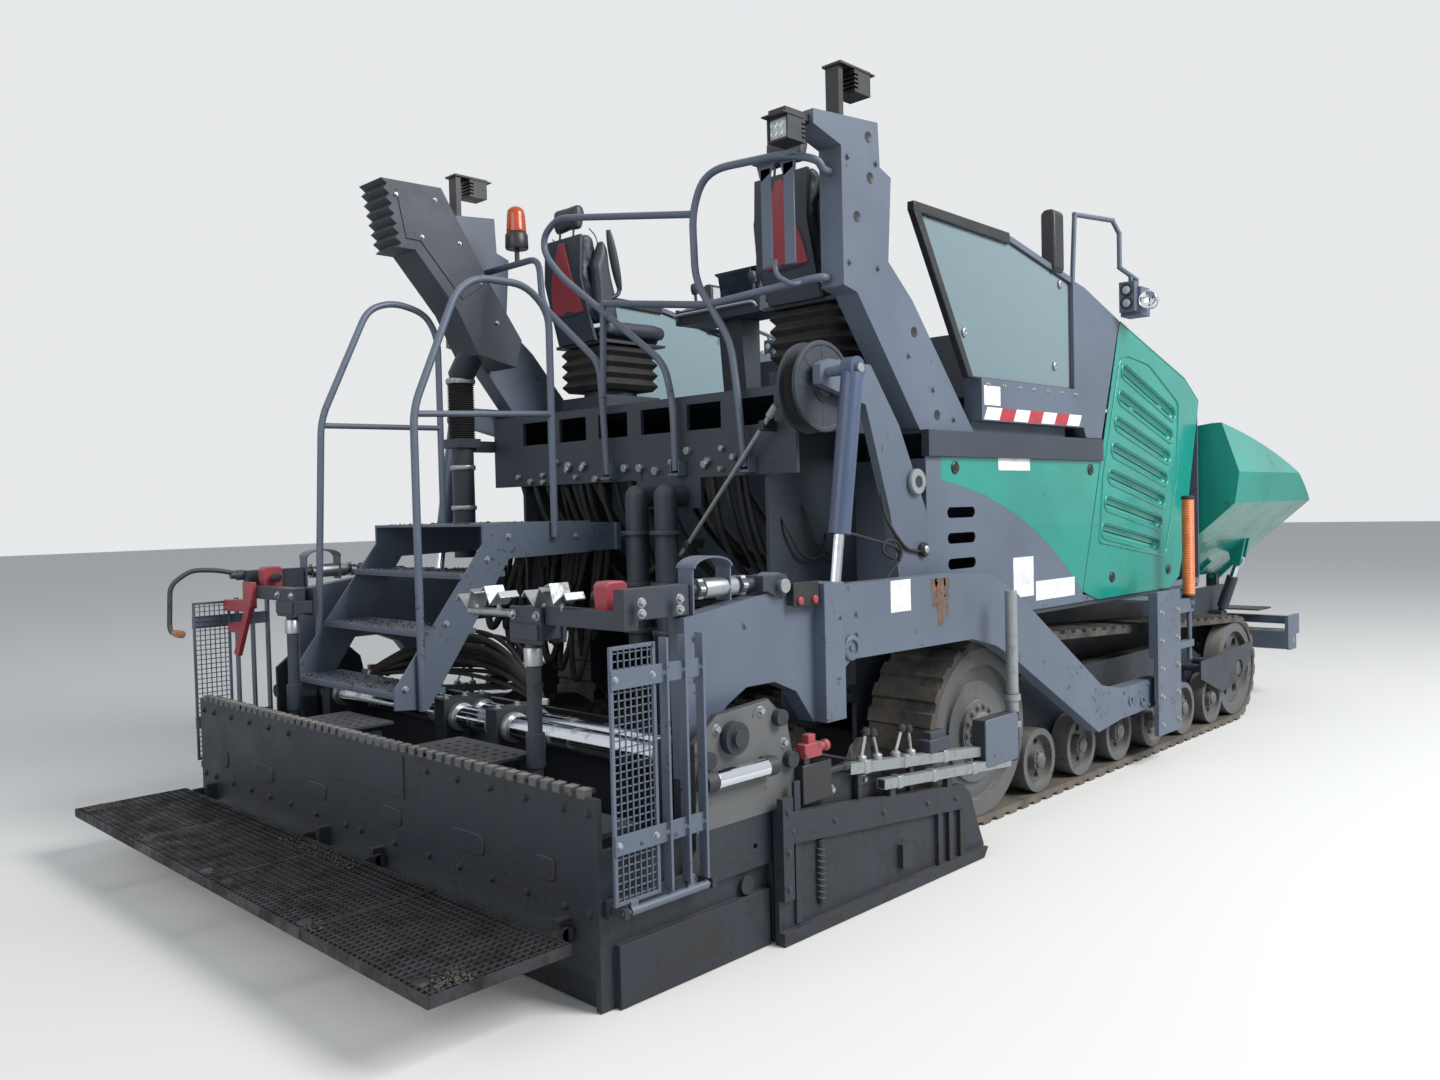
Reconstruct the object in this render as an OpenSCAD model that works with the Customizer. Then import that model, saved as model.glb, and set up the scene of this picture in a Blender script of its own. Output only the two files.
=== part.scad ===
// Tracked asphalt paver with a front-extension screed, at full size in millimetres.
// X runs forward, Y to the left and Z up from the ground the belts stand on.
// Lengths along X are taken from the drive wheel axle, then moved to the middle of the machine.

/* [Undercarriage] */
// Outer radius of the belt round the drive wheel
drive_r = 446; // [430:1:460]
// Outer radius of the belt round the front idler
idler_r = 360; // [340:1:375]
// Distance from the drive wheel axle to the idler axle
wheelbase = 3270; // [3230:10:3330]
// Gap between a belt and the tow arm outside it
belt_gap = 35; // [25:1:45]
// Width of each rubber belt
belt_w = 350; // [330:1:360]
// Thickness of the belt under its lugs
belt_t = 28; // [22:1:32]
// Height of the tread lugs
lug_h = 18; // [12:1:22]
// Pitch of the tread lugs
lug_pitch = 120; // [110:5:150]
// Height of the road wheel axles
road_z = 210; // [200:1:215]
// Distance between road wheel axles
road_pitch = 460; // [440:5:480]
// First road wheel axle, forward of the drive wheel
road_first = 560; // [550:5:580]
// Diameter of the road wheel axles
axle_d = 50; // [40:1:60]

/* [Machine] */
// Front of the push beam, ahead of the hopper
beam_reach = 270; // [250:5:320]
// Gap between the bodywork and the tow arms
body_gap = 85; // [75:1:95]
// Width of the shelf beside the operator's floor
shelf_w = 170; // [150:5:180]
// Height of the operator's floor
deck_z = 2060; // [2040:5:2080]
// Sheet thickness of the bodywork
sheet_t = 6; // [4:1:8]
// Plate thickness of the frame
plate_t = 25; // [20:1:30]
// Radius of the handrail tubes
rail_r = 17; // [15:1:19]

/* [Hopper] */
// Distance of the wing hinges inside the frame's side plates
wing_inset = 50; // [45:1:55]
// Height of the wing hinges
wing_hinge_z = 920; // [910:5:930]
// Front edge of the hopper
hopper_front = 4350; // [4330:5:4360]
// Rear edge of the hopper wings
hopper_rear = 2860; // [2850:5:2880]
// Sheet thickness of the wings
wing_t = 8; // [6:1:10]

/* [Screed] */
// Half of the basic paving width, which the arms, belts and bodywork follow
screed_half = 1525; // [1500:1:1560]
// Distance of the tow arms inside the ends of the screed
arm_inset = 140; // [130:1:150]
// Rear face of the screed
screed_rear = 2500; // [2490:5:2510]
// Height of the screed's rear wall
wall_z = 660; // [640:5:680]
// Height of the tow point
tow_z = 420; // [410:1:430]
// Tow point, forward of the drive wheel
tow_x = 1750; // [1740:5:1760]
// Diameter of the tow pins
tow_pin_d = 60; // [50:1:65]
// Radius of the augers
auger_r = 200; // [180:5:205]
// Height of the auger shaft
auger_z = 330; // [325:5:350]
// Auger shaft, behind the drive wheel
auger_x = 780; // [775:5:800]
// Depth of the walkway grating
walk_depth = 490; // [470:5:560]

/* [Hidden] */
$fn = 48;

arm_t = 75;
arm_in = screed_half - arm_inset;
arm_out = arm_in + arm_t;
belt_out = arm_in - belt_gap;
body_half = arm_in - body_gap;
side_gap = 75;
side_y = belt_out - belt_w - side_gap - plate_t;
tunnel_y = side_y - 200;
wing_hinge_y = side_y - wing_inset;
deck_half = body_half - shelf_w;
chassis_front = hopper_front - 110;
front_reach = hopper_front + beam_reach;
walk_gap = 90;
rear_reach = screed_rear + walk_gap + walk_depth;
frame_x = -(front_reach - rear_reach) / 2;
fit = 0.3;
tube_step = 0.4;
run = 0.5;
frame_grey = "#4b5258";
dark_grey = "#2f3337";
panel_green = "#1f9e80";
zinc = "#b9bec2";
chrome = "#d5d9dc";
soft_black = "#1c1d1f";

module place() translate([frame_x, 0, 0]) children();

// Children are drawn on the left, side 1, and mirrored for the right, side -1
module on_side(side) if (side > 0) children(); else mirror([0, 1, 0]) children();

module both_sides() for (side = [1, -1]) on_side(side) children();

// A polygon in the X-Z plane, thick from y0 towards the left
module plate_xz(points, y0, t) translate([0, y0 + t, 0]) rotate([90, 0, 0]) linear_extrude(t) polygon(points);

// A polygon in the Y-Z plane, thick from x0 forwards
module plate_yz(points, x0, t) translate([x0, 0, 0]) rotate([90, 0, 90]) linear_extrude(t) polygon(points);

// A block between two opposite corners
module block(low, high) translate(low) cube(high - low);

// A round bar from one point to another
module bar(from, to, r) {
    run_v = to - from;
    len = norm(run_v);
    translate(from) rotate([0, acos(run_v.z / len), atan2(run_v.y, run_v.x)]) cylinder(h = len, r = r);
}

// A tube along a list of points; its pieces run into each other and differ by a hair, so that no two faces coincide
module tube_run(points, r) {
    last = len(points) - 2;
    for (i = [0 : last]) {
        v = (points[i + 1] - points[i]) / norm(points[i + 1] - points[i]);
        bar(points[i] - v * (i > 0 ? r / 2 : 0), points[i + 1] + v * (i < last ? r / 2 : 0), r + (i % 2) * tube_step);
    }
}

// A round bar along Y, from y0 to y1
module bar_y(x, z, r, y0, y1) translate([x, y1, z]) rotate([90, 0, 0]) cylinder(h = y1 - y0, r = r);

function arc(c, r, a0, a1, n) = [for (i = [0 : n]) let (a = a0 + (a1 - a0) * i / n) c + r * [cos(a), sin(a)]];

function curve(a, b, c, n) = [for (i = [0 : n]) let (t = i / n) (1 - t) * (1 - t) * a + 2 * t * (1 - t) * b + t * t * c];

// Belt loop: along the ground, up round the idler, back along the top and down round the drive wheel
idler_z = idler_r;
drive_z = drive_r;
belt_tilt = 2 * atan2(drive_r - idler_r, wheelbase);
belt_run = wheelbase;
top_run = norm([wheelbase, drive_z - idler_z]) * cos(belt_tilt / 2);
idler_arc = 180 - belt_tilt;
drive_arc = 180 + belt_tilt;
idler_len = idler_arc * PI / 180 * idler_r;
drive_len = drive_arc * PI / 180 * drive_r;
loop_len = belt_run + idler_len + top_run + drive_len;
lug_count = floor(loop_len / lug_pitch);

// Point at a distance s along the loop, a depth d inside its outer line
function loop_point(s, d) =
    s < belt_run ? [s, d] :
    s < belt_run + idler_len ? let (a = -90 + (s - belt_run) / idler_len * idler_arc)
        [wheelbase, idler_z] + (idler_r - d) * [cos(a), sin(a)] :
    s < belt_run + idler_len + top_run ? let (k = (s - belt_run - idler_len) / top_run, a = 90 - belt_tilt)
        (1 - k) * ([wheelbase, idler_z] + (idler_r - d) * [cos(a), sin(a)])
        + k * ([0, drive_z] + (drive_r - d) * [cos(a), sin(a)]) :
    let (a = 90 - belt_tilt + (s - belt_run - idler_len - top_run) / drive_len * drive_arc)
        [0, drive_z] + (drive_r - d) * [cos(a), sin(a)];

// Rise and fall of each lug, as shares of the pitch and depths
lug_shape = [[0, 0], [0.50, 0], [0.58, 1], [0.92, 1]];

module belt() {
    step = loop_len / lug_count;
    outer = [for (i = [0 : lug_count - 1]) for (p = lug_shape) loop_point((i + p.x) * step, p.y * lug_h)];
    inner_n = 180;
    inner = [for (i = [0 : inner_n - 1]) loop_point(i * loop_len / inner_n, belt_t + lug_h)];
    translate([0, belt_out, 0]) rotate([90, 0, 0]) linear_extrude(belt_w) difference() {
        polygon(outer);
        polygon(inner);
    }
}

wheel_gap = 1.5;
road_r = road_z - belt_t - lug_h - wheel_gap;
drive_rim = drive_r - belt_t - lug_h - wheel_gap;
idler_rim = idler_r - belt_t - lug_h - wheel_gap;
road_wheels = 6;
wheel_in = belt_out - belt_w + 10;
wheel_out = belt_out - 10;
wheel_w = 100;
frame_in = belt_out - belt_w / 2 - 45;
frame_out = frame_in + 90;

// A wheel with a rim, a thinner web with windows, and a hub
module wheel(r, w, windows) {
    rotate([90, 0, 0]) translate([0, 0, -w / 2]) difference() {
        cylinder(h = w, r = r);
        for (z = [-1, w * 0.62]) translate([0, 0, z]) difference() {
            cylinder(h = w * 0.38 + 1, r = r * 0.8);
            translate([0, 0, -1]) cylinder(h = w, r = r * 0.34);
        }
        if (windows > 0) for (i = [0 : windows - 1]) rotate(i * 360 / windows) translate([r * 0.57, 0, -1]) cylinder(h = w + 2, r = r * 0.13);
    }
}

module wheel_set() {
    for (i = [0 : road_wheels - 1]) translate([road_first + i * road_pitch, 0, road_z]) {
        translate([0, wheel_in + wheel_w / 2, 0]) wheel(road_r, wheel_w, 5);
        translate([0, wheel_out - wheel_w / 2, 0]) wheel(road_r, wheel_w, 5);
        bar_y(0, 0, axle_d / 2, wheel_in + 5, wheel_out - 5);
    }
    translate([wheelbase, 0, idler_z]) {
        translate([0, wheel_in + wheel_w / 2, 0]) wheel(idler_rim, wheel_w, 6);
        translate([0, wheel_out - wheel_w / 2, 0]) wheel(idler_rim, wheel_w, 6);
        bar_y(0, 0, axle_d, wheel_in + 5, wheel_out - 5);
    }
    translate([0, 0, drive_z]) {
        translate([0, wheel_out - wheel_w / 2, 0]) wheel(drive_rim, wheel_w, 0);
        translate([0, wheel_in + wheel_w / 2, 0]) difference() {
            wheel(drive_rim, wheel_w, 0);
            bar_y(0, 0, motor_r + 20, -wheel_w, wheel_w);
        }
        bar_y(0, 0, 150, frame_out + fit, wheel_out - 2);
        bar_y(0, 0, 240, wheel_out - 45, wheel_out - 22);
        difference() {
            bar_y(0, 0, drive_rim - 2, wheel_in + 20, wheel_out - 20);
            bar_y(0, 0, drive_rim - 40, wheel_in, wheel_out);
        }
    }
}

motor_r = 190;
beam_low = 250;
beam_high = 600;

module track_frame() {
    difference() {
        union() {
            plate_xz([[460, 400], [500, beam_low], [2950, beam_low], [wheelbase - 90, 300], [wheelbase + 90, 300],
                [wheelbase + 90, 430], [2950, 480], [2700, beam_high], [620, beam_high], [500, 540]],
                frame_in, frame_out - frame_in);
            bar_y(0, drive_z, motor_r, side_y + plate_t + fit, frame_out);
            for (i = [0 : road_wheels - 1])
                bar_y(road_first + i * road_pitch, road_z, 70, frame_in, frame_out);
        }
        for (i = [0 : road_wheels - 1])
            bar_y(road_first + i * road_pitch, road_z, axle_d / 2 + run, frame_in - 1, frame_out + 1);
        bar_y(wheelbase, idler_z, axle_d + run, frame_in - 1, frame_out + 1);
    }
    for (x = [700, 2500]) bar_y(x, 450, 90, side_y + plate_t + fit, frame_in + 5);
    difference() {
        plate_xz([[2600, 480], [3500, 520], [3500, 420], [3330, 300], [2960, 240], [2600, 370]], belt_out + 12, 10);
        bar_y(wheelbase, idler_z, 60, belt_out, belt_out + 40);
    }
    for (p = [[2680, 430], [2860, 450]])
        bar_y(p.x, p.y, 24, frame_out - 5, belt_out + 12.5);
}

tunnel_z = 480;
frame_rear = 420;
deck_under = 1000;
tunnel_top = deck_under - 100;

shelf_z = 1870;

module chassis_side() {
    plate_xz([[-frame_rear, 330], [-frame_rear, deck_under], [hopper_rear - 60, deck_under],
        [hopper_rear - 60, wing_hinge_z - 60], [chassis_front, wing_hinge_z - 60], [chassis_front, 300], [200, 300]], side_y, plate_t);
    plate_xz([[-560, tunnel_z], [-700, 600], [-700, tunnel_top], [hopper_rear - 60, tunnel_top], [hopper_rear - 60, 700],
        [chassis_front, 700], [chassis_front, tunnel_z]], tunnel_y, 12);
    block([-frame_rear, side_y + plate_t - 1, deck_under - 50], [hopper_rear - 80, body_half - 12, skirt_z]);
    for (x = [hopper_rear + 40, (hopper_rear + hopper_front) / 2, hopper_front - 180])
        difference() {
            union() {
                block([x, wing_hinge_y - 38, wing_hinge_z - 160], [x + 60, side_y + 1, wing_hinge_z - 61]);
                translate([x, wing_hinge_y, wing_hinge_z]) rotate([0, 90, 0]) cylinder(h = 60, r = 38);
                block([x, wing_hinge_y - 38, wing_hinge_z - 70], [x + 60, wing_hinge_y + 38, wing_hinge_z]);
            }
            translate([x - 1, wing_hinge_y, wing_hinge_z]) rotate([0, 90, 0]) cylinder(h = 62, r = hinge_pin_r + run);
        }
}

hinge_pin_r = 18;
lash_r = 25;
lash_t = 25;
lash_front = [chassis_front + 45, 550];
lash_rear = [-480, 650];

// A plate with a round eye, from a root on the frame to the eye's centre
module lash_eye(root, eye, y0) {
    difference() {
        union() {
            plate_xz([root + [0, -40], root + [0, 40], eye + [0, 40], eye + [0, -40]], y0, lash_t);
            bar_y(eye.x, eye.y, 40, y0, y0 + lash_t);
        }
        bar_y(eye.x, eye.y, lash_r, y0 - 1, y0 + lash_t + 1);
    }
}

module chassis() color(frame_grey) place() {
    both_sides() chassis_side();
    block([-frame_rear, -side_y - 1, deck_under - 15], [hopper_rear - 80, side_y + 1, deck_under]);
    block([-560, -tunnel_y - 1, tunnel_z - 12], [chassis_front, tunnel_y + 1, tunnel_z]);
    block([-700, -46, tunnel_z - 12], [-550, 46, tunnel_z]);
    block([200, -side_y - 1, 300], [chassis_front, side_y + 1, 312]);
    both_sides() block([-frame_rear, tunnel_y + 11, 600], [-frame_rear + 15, side_y + 1, deck_under - 10]);
    block([-frame_rear, -tunnel_y - 12, tunnel_top - 11], [-frame_rear + 15, tunnel_y + 12, deck_under - 10]);
    block([chassis_front - 25, -side_y - plate_t, 300], [chassis_front, side_y + plate_t, tunnel_z - 6]);
    block([-auger_x - 45, -45, auger_z - 90], [-auger_x + 45, 45, tunnel_z + 5]);
    block([-auger_x - 45, -45, tunnel_z - 5], [-660, 45, tunnel_top]);
    block([-700, -tunnel_y, tunnel_top - 12], [-frame_rear + 5, tunnel_y, tunnel_top]);
    for (z = [340, 432]) difference() {
        union() {
            block([chassis_front - 5, -50, z], [pivot_x, 50, z + 28]);
            translate([pivot_x, 0, z]) cylinder(h = 28, r = 50);
        }
        translate([pivot_x, 0, z - 1]) cylinder(h = 30, r = 30 + run);
    }
    both_sides() {
        block([chassis_front - 40, tunnel_y, 600], [apron_axis.x + 16, tunnel_y + 12, 658]);
        lash_eye([chassis_front - 4, lash_front[1]], lash_front, side_y - 100);
        lash_eye([-frame_rear + 1, lash_rear[1]], lash_rear, side_y);
        block([chassis_front - 25, tunnel_y, 470], [chassis_front, side_y + 1, 600]);
        bar_y(apron_axis.x, apron_axis.y, 12, tunnel_y - 60, tunnel_y + 6);
        block([wing_cyl_x - 52, side_y + plate_t - 1, 600], [wing_cyl_x - 30, wing_foot.x + 35, 680]);
        block([wing_cyl_x + 30, side_y + plate_t - 1, 600], [wing_cyl_x + 52, wing_foot.x + 35, 680]);
        translate([wing_cyl_x - 40, wing_foot.x, wing_foot.y]) rotate([0, 90, 0]) cylinder(h = 80, r = 16);
    }
}

beam_x = front_reach - 190;
pivot_x = beam_x - 120;

module track_left() color(soft_black) place() belt();

module track_right() color(soft_black) place() on_side(-1) belt();

module wheels_left() color(dark_grey) place() wheel_set();

module wheels_right() color(dark_grey) place() on_side(-1) wheel_set();

module track_frames() color(frame_grey) place() both_sides() track_frame();

module engine() color(dark_grey) place() block([1500, -450, deck_under + fit], [hood_front - 140, 450, 1850]);

hood_front = hopper_rear - 70;
seam_top = [1650, 2550];
seam_low = [1140, 1030];
skirt_z = deck_under - 25;
panel_low = curve([1140, 1030], [560, 1540], [-240, 1640], 12);

module hood_wall() {
    difference() {
        plate_xz(concat([[-360, skirt_z + fit], [-360, 1750], [-240 - fit, 1750]],
            [for (i = [12 : -1 : 0]) panel_low[i] - [fit, fit]], [[1160, skirt_z + fit]]),
            body_half - sheet_t, sheet_t);
        for (i = [0 : 2]) translate([-70, body_half, 1250 + i * 120]) rotate([90, 0, 0]) translate([0, 0, -1])
            linear_extrude(sheet_t + 2) union() {
                square([190, 50], center = true);
                for (x = [-95, 95]) translate([x, 0]) circle(r = 25);
            }
    }
}

module hood_shell() color(dark_grey) place() {
    both_sides() hood_wall();
    block([hood_front - 10, -body_half + sheet_t, deck_under + fit], [hood_front, body_half - sheet_t, 2130]);
    block([1330, -body_half + sheet_t + 1, deck_under + fit], [1345, body_half - sheet_t - 1, 1500]);
    block([-360, -body_half + sheet_t - 1, deck_under + fit], [-345, body_half - sheet_t + 1, 1740]);
    both_sides() {
        block([-350, body_half - 40, skirt_z + fit], [1150, body_half - 2, deck_under + 10]);
        block([1149, body_half - 40, skirt_z + fit], [hood_front - 5, body_half - sheet_t - fit, deck_under + 10]);
    }
}

panel_top = [seam_top, [hood_front - 800, 2450], [hood_front - 210, 2280], [hood_front + 5, 2150]];
louvres = 7;
louvre_len = hood_front - 2090;

module side_panel() {
    plate_xz(concat([[-240, 1750 - fit], [1375, 1750 - fit]], panel_low), body_half - sheet_t, sheet_t);
    difference() {
        plate_xz(concat([seam_low + [6, 0], [1385, 1750]], panel_top,
            [[hood_front - 270, 1200], [hood_front - 340, 1040], [hood_front - 490, skirt_z], [1320, skirt_z]]),
            body_half - sheet_t, sheet_t);
        for (i = [0 : louvres - 1]) translate([1420 + i * 48, body_half, 1360 + i * 152]) rotate([90, 9 + i * 1.5, 0])
            translate([0, 0, -1]) linear_extrude(sheet_t + 2) union() {
                translate([0, -32]) square([louvre_len, 64]);
                for (x = [0, louvre_len]) translate([x, 0]) circle(r = 32);
            }
    }
}

module side_panels() color(panel_green) place() both_sides() side_panel();

lid_axis = [1640, 2556];

module hood_lid() color(panel_green) place() {
    lid_line = [[1662, 2552], [hood_front - 800, 2456], [hood_front - 210, 2286], [hood_front + 10, 2154]];
    plate_xz(concat(lid_line, [for (i = [3 : -1 : 0]) lid_line[i] + [2, 8]]), -body_half + 2, 2 * body_half - 4);
    difference() {
        union() {
            bar_y(lid_axis.x, lid_axis.y, 14, -200, 200);
            plate_xz([[1645, 2545], [1670, 2548], [1670, 2558], [1645, 2568]], -200, 400);
        }
        bar_y(lid_axis.x, lid_axis.y, 8 + run, -201, 201);
    }
}

seat_x = -420;
seat_y = deck_half - 330;
seat_base_z = 2180;
reel_x = -1000;
reel_y = body_half - 110;
reel_z = 2030;
reel_r = 190;

module platform() color(frame_grey) place() {
    block([-980, -deck_half, deck_z - 15], [1300, deck_half, deck_z]);
    both_sides() {
        block([-360, body_half - 21, 1750], [1375, body_half + 20, shelf_z]);
        block([-360, deck_half - 15, shelf_z - 15], [1375, body_half - 15, shelf_z]);
        block([-980, deck_half - 15, shelf_z - 15], [1300, deck_half, deck_z - 1]);
        block([seat_x - 200, seat_y - 200, deck_z - 1], [seat_x + 200, seat_y + 200, seat_base_z]);
        plate_xz([[-980, 1100], [-980, shelf_z + 10], [-361, shelf_z + 10], [-361, deck_under + fit],
            [-frame_rear, deck_under + fit], [-frame_rear, 1100]], 880, 20);
        block([-980, 899, shelf_z - 5], [-361, deck_half - 1, shelf_z + 10]);
    }
    difference() {
        block([1285, -deck_half, deck_z - 1], [1300, deck_half, 2560]);
        bar_y(lid_axis.x, lid_axis.y, 60, -300, 300);
    }
    both_sides() block([1285, deck_half - 15, shelf_z], [1300, body_half - 62, 2560]);
    block([1285, -body_half + 62, 2545], [1610, body_half - 62, 2560]);
    bar_y(lid_axis.x, lid_axis.y, 8, -230, 230);
    both_sides() block([1590, 205, 2530], [1652, 230, 2572]);
    difference() {
        block([-1000, 50 - deck_half, 1680], [-979, deck_half, deck_z]);
        for (y = [-960, -640, -320, 0, 320, 640]) block([-1001, y, 1900], [-970, y + 220, 2020]);
    }
    block([-1000, -500, 1540], [-980, -60, 1690]);
    block([-700, deck_half - 15, 1750], [-355, body_half - 41, shelf_z]);
    block([reel_x - 40, -reel_y + 60, deck_z - 200], [reel_x + 60, -reel_y + 75, reel_z + 40]);
    translate([0, -reel_y, 0]) bar_y(reel_x, reel_z, 20, -50, 62);
    bar_y(console_x, deck_z + 60, 20, -700, 700);
    both_sides() block([console_x - 20, 680, deck_z - 1], [console_x + 20, 700, deck_z + 80]);
}

console_x = 160;
console_y = 300;

module console() color(dark_grey) place() {
    difference() {
        block([console_x - 60, console_y - 110, deck_z + 20], [console_x + 60, console_y + 110, 2200]);
        bar_y(console_x, deck_z + 60, 20 + run, -800, 800);
    }
    plate_xz([[console_x - 60, 2190], [console_x + 60, 2190], [console_x + 60, 2630], [console_x - 100, 2630]], console_y - 90, 180);
    plate_xz([[console_x - 200, 2610], [console_x + 80, 2620], [console_x + 120, 2770], [console_x + 80, 2800],
        [console_x - 20, 2765], [console_x - 215, 2690]], console_y - console_half, 2 * console_half);
    plate_xz([[console_x - 20, 2740], [console_x + 100, 2760], [console_x + 75, 2905], [console_x + 40, 2905]],
        console_y - 150, 300);
    plate_xz([[console_x - 25, 2896], [console_x + 90, 2896], [console_x + 84, 2910], [console_x - 45, 2910]], console_y - 165, 330);
    both_sides_of(console_y) {
        bar([console_x - 130, console_half - 90, 2700], [console_x - 140, console_half - 90, 2800], 9);
        bar([console_x - 140, console_half - 90, 2795], [console_x - 144, console_half - 90, 2850], 20);
        block([console_x - 205, console_half - 6, 2615], [console_x + 60, console_half + 14, 2705]);
    }
    block([console_x - 90, console_y - 140, deck_z + 20], [console_x + 90, console_y + 140, deck_z + 32]);
}

console_half = 320;

module both_sides_of(y) translate([0, y, 0]) both_sides() children();

seat_w = 480;
bellows_pitch = 55;

module seat() {
    translate([seat_x, seat_y, seat_base_z]) {
        translate([0, 0, fit]) cylinder(h = 40, r = 150);
        block([-165, -165, 20], [165, 165, 300]);
        for (i = [0 : 3]) block([-190, -190, 41 + i * bellows_pitch], [190, 190, 79 + i * bellows_pitch]);
        plate_xz(cushion_line, -seat_w / 2, seat_w);
        both_sides() plate_xz([for (p = cushion_line) p + [0, 26]], seat_w / 2 - 70, 70);
        plate_xz(back_line, -seat_w / 2 + 15, seat_w - 30);
        both_sides() plate_xz([for (p = back_line) p + [30, 10]], seat_w / 2 - 75, 60);
        plate_xz(head_line, -115, 230);
        both_sides() {
            bar([-150, seat_w / 2 + 28, 585], [130, seat_w / 2 + 28, 570], 28);
            block([-215, seat_w / 2 - 40, 470], [-150, seat_w / 2 + 50, 612]);
        }
    }
}

cushion_line = concat([[-230, 285], [235, 285]], arc([225, 335], 50, -80, 80, 5), [[120, 392], [-150, 372], [-225, 392]]);
back_line = concat([[-240, 340], [-130, 392], [-148, 560]], curve([-170, 640], [-178, 800], [-222, 880], 5),
    arc([-270, 860], 40, 60, 180, 5), [[-330, 640], [-280, 420]]);
head_line = concat(arc([-272, 1020], 38, 0, 180, 7), [[-312, 850], [-262, 850], [-234, 940]]);

module seat_left() color(soft_black) place() seat();

module seat_right() color(soft_black) place() on_side(-1) seat();

module hose_reel() color(dark_grey) place() translate([0, -reel_y, 0]) difference() {
    union() {
        bar_y(reel_x, reel_z, reel_r, -45, -35);
        bar_y(reel_x, reel_z, reel_r, 35, 45);
        bar_y(reel_x, reel_z, reel_r - 40, -36, 36);
    }
    bar_y(reel_x, reel_z, 20 + run, -60, 60);
}

module side_screens() color(frame_grey) place() both_sides() {
    block([130, body_half - 100, 1930], [1200, body_half, 2135]);
    plate_xz([[1080, 2136], [1080, 2720], [1210, 2700], [1640, 2560], [1395, 1875], [1210, 1875]], body_half - 60, 60);
    block([140, body_half - 90, shelf_z + fit], [1100, body_half - 70, 1931]);
    plate_xz([[-400, 2850], [-400, 2880], [450, 2862], [1081, 2740], [1081, 2708], [445, 2834]], body_half - 40, 30);
    plate_xz([[-400, 2851], [30, 2134], [71, 2134], [-355, 2851]], body_half - 40, 30);
    tube_run([[1130, body_half - 30, 2690], [1150, body_half - 20, 3090], [1440, body_half + 60, 3090],
        [1480, body_half + 80, 3020], [1480, body_half + 80, 2830], [1700, body_half + 80, 2790]], 13);
    block([1600, body_half + 20, 2600], [1640, body_half + 110, 2770]);
    block([1640, body_half + 10, 2580], [1760, body_half + 130, 2740]);
    bar([1620, body_half + 80, 2740], [1620, body_half + 80, 2810], 12);
    bar([1700, body_half + 80, 2700], [1700, body_half + 80, 2800], 12);
    block([880, body_half - 60, 2752], [960, body_half - 5, 3060]);
}

module screen_glass() color("#8fb0b8") place() both_sides()
    plate_xz([[-352, 2848.6], [445, 2833.4], [1080 - fit, 2707.4], [1080 - fit, 2135 + fit], [73, 2135 + fit]], body_half - 28, 6);

tower_rear = -880;
tower_w = 120;
tower_in = body_half - tower_w - 40;
left_tower_back = 330;

module tower() {
    plate_xz([[tower_rear - 180, 3150], [tower_rear + 260, 3190], [tower_rear + 270, 3000], [tower_rear + 350, 2970],
        [tower_rear + 320, 2600], [tower_rear + 500, 2450], [120, shelf_z + fit], [-340, shelf_z + fit],
        [tower_rear + 90, 2440], [tower_rear, 2460], [tower_rear, 3040], [tower_rear - 180, 3090]],
        body_half - tower_w - 40, tower_w);
}

module towers() color(frame_grey) place() {
    on_side(-1) tower();
    translate([-left_tower_back, 0, 0]) tower();
    both_sides() lift_bracket();
}

lift_top = [-1050, 2080];
lift_low = [-1200, 1170];
lift_y = arm_in + 40;
lift_pin_r = 22;

module lift_bracket() {
    plate_xz([[-1100, 2110], [-1040, 2135], [-760, 2130], [-560, 1880], [-360.3, 1500], [-360.3, 1100], [-560, 1100],
        [-640, 1500], [-800, 1960], [-1100, 2030]], body_half - 40, 40);
    bar_y(lift_top.x, lift_top.y, lift_pin_r, body_half - 30, lift_y + 42);
}

duct_w = 220;
duct_y = tower_in - 20 - duct_w;
pipe_y = body_half - 140;

duct_mouth = [[-1700, 2880], [-1780, 3210]];
duct_tooth_count = 7;

// The open rear edge of the duct's head is cut into teeth
duct_teeth = [for (i = [0 : 2 * duct_tooth_count]) let (k = i / (2 * duct_tooth_count))
    (1 - k) * duct_mouth[0] + k * duct_mouth[1] + [(i % 2) * 28, 0]];

module fume_duct() color(dark_grey) place() {
    plate_xz(concat(duct_teeth, [[-1440, 3220], [-1140, 2740], [-960, 2480], [-1000, 2330], [-1240, 2380], [-1360, 2600],
        [-1600, 2880]]), duct_y, duct_w);
    plate_xz([[-1700, 3170], [-1470, 3180], [-1200, 2750], [-1330, 2660], [-1570, 2930], [-1650, 2930]], duct_y - 5, duct_w + 10);
    block([-1262, pipe_y - 72, 1900], [-1118, pipe_y + 72, 1950]);
    bar([-1190, pipe_y - 150, 2440], [-1190, pipe_y, 2290], 70);
    bar([-1190, pipe_y, 2310], [-1190, pipe_y, 1300], 60);
    block([-1140, deck_half + fit, 1880], [-980, pipe_y + 30, 1940]);
    for (y = [-180, -380]) bar([-1110, y, 1600], [-1110, y, 900], 55);
    for (y = [-180, -380]) {
        translate([-1110, y, 1600]) sphere(r = 55);
        bar([-1110, y, 1600], [-1000 - fit, y, 1600], 48);
    }
}

lamp_size = [110, 110, 96];
lamp_fins = 4;

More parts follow.
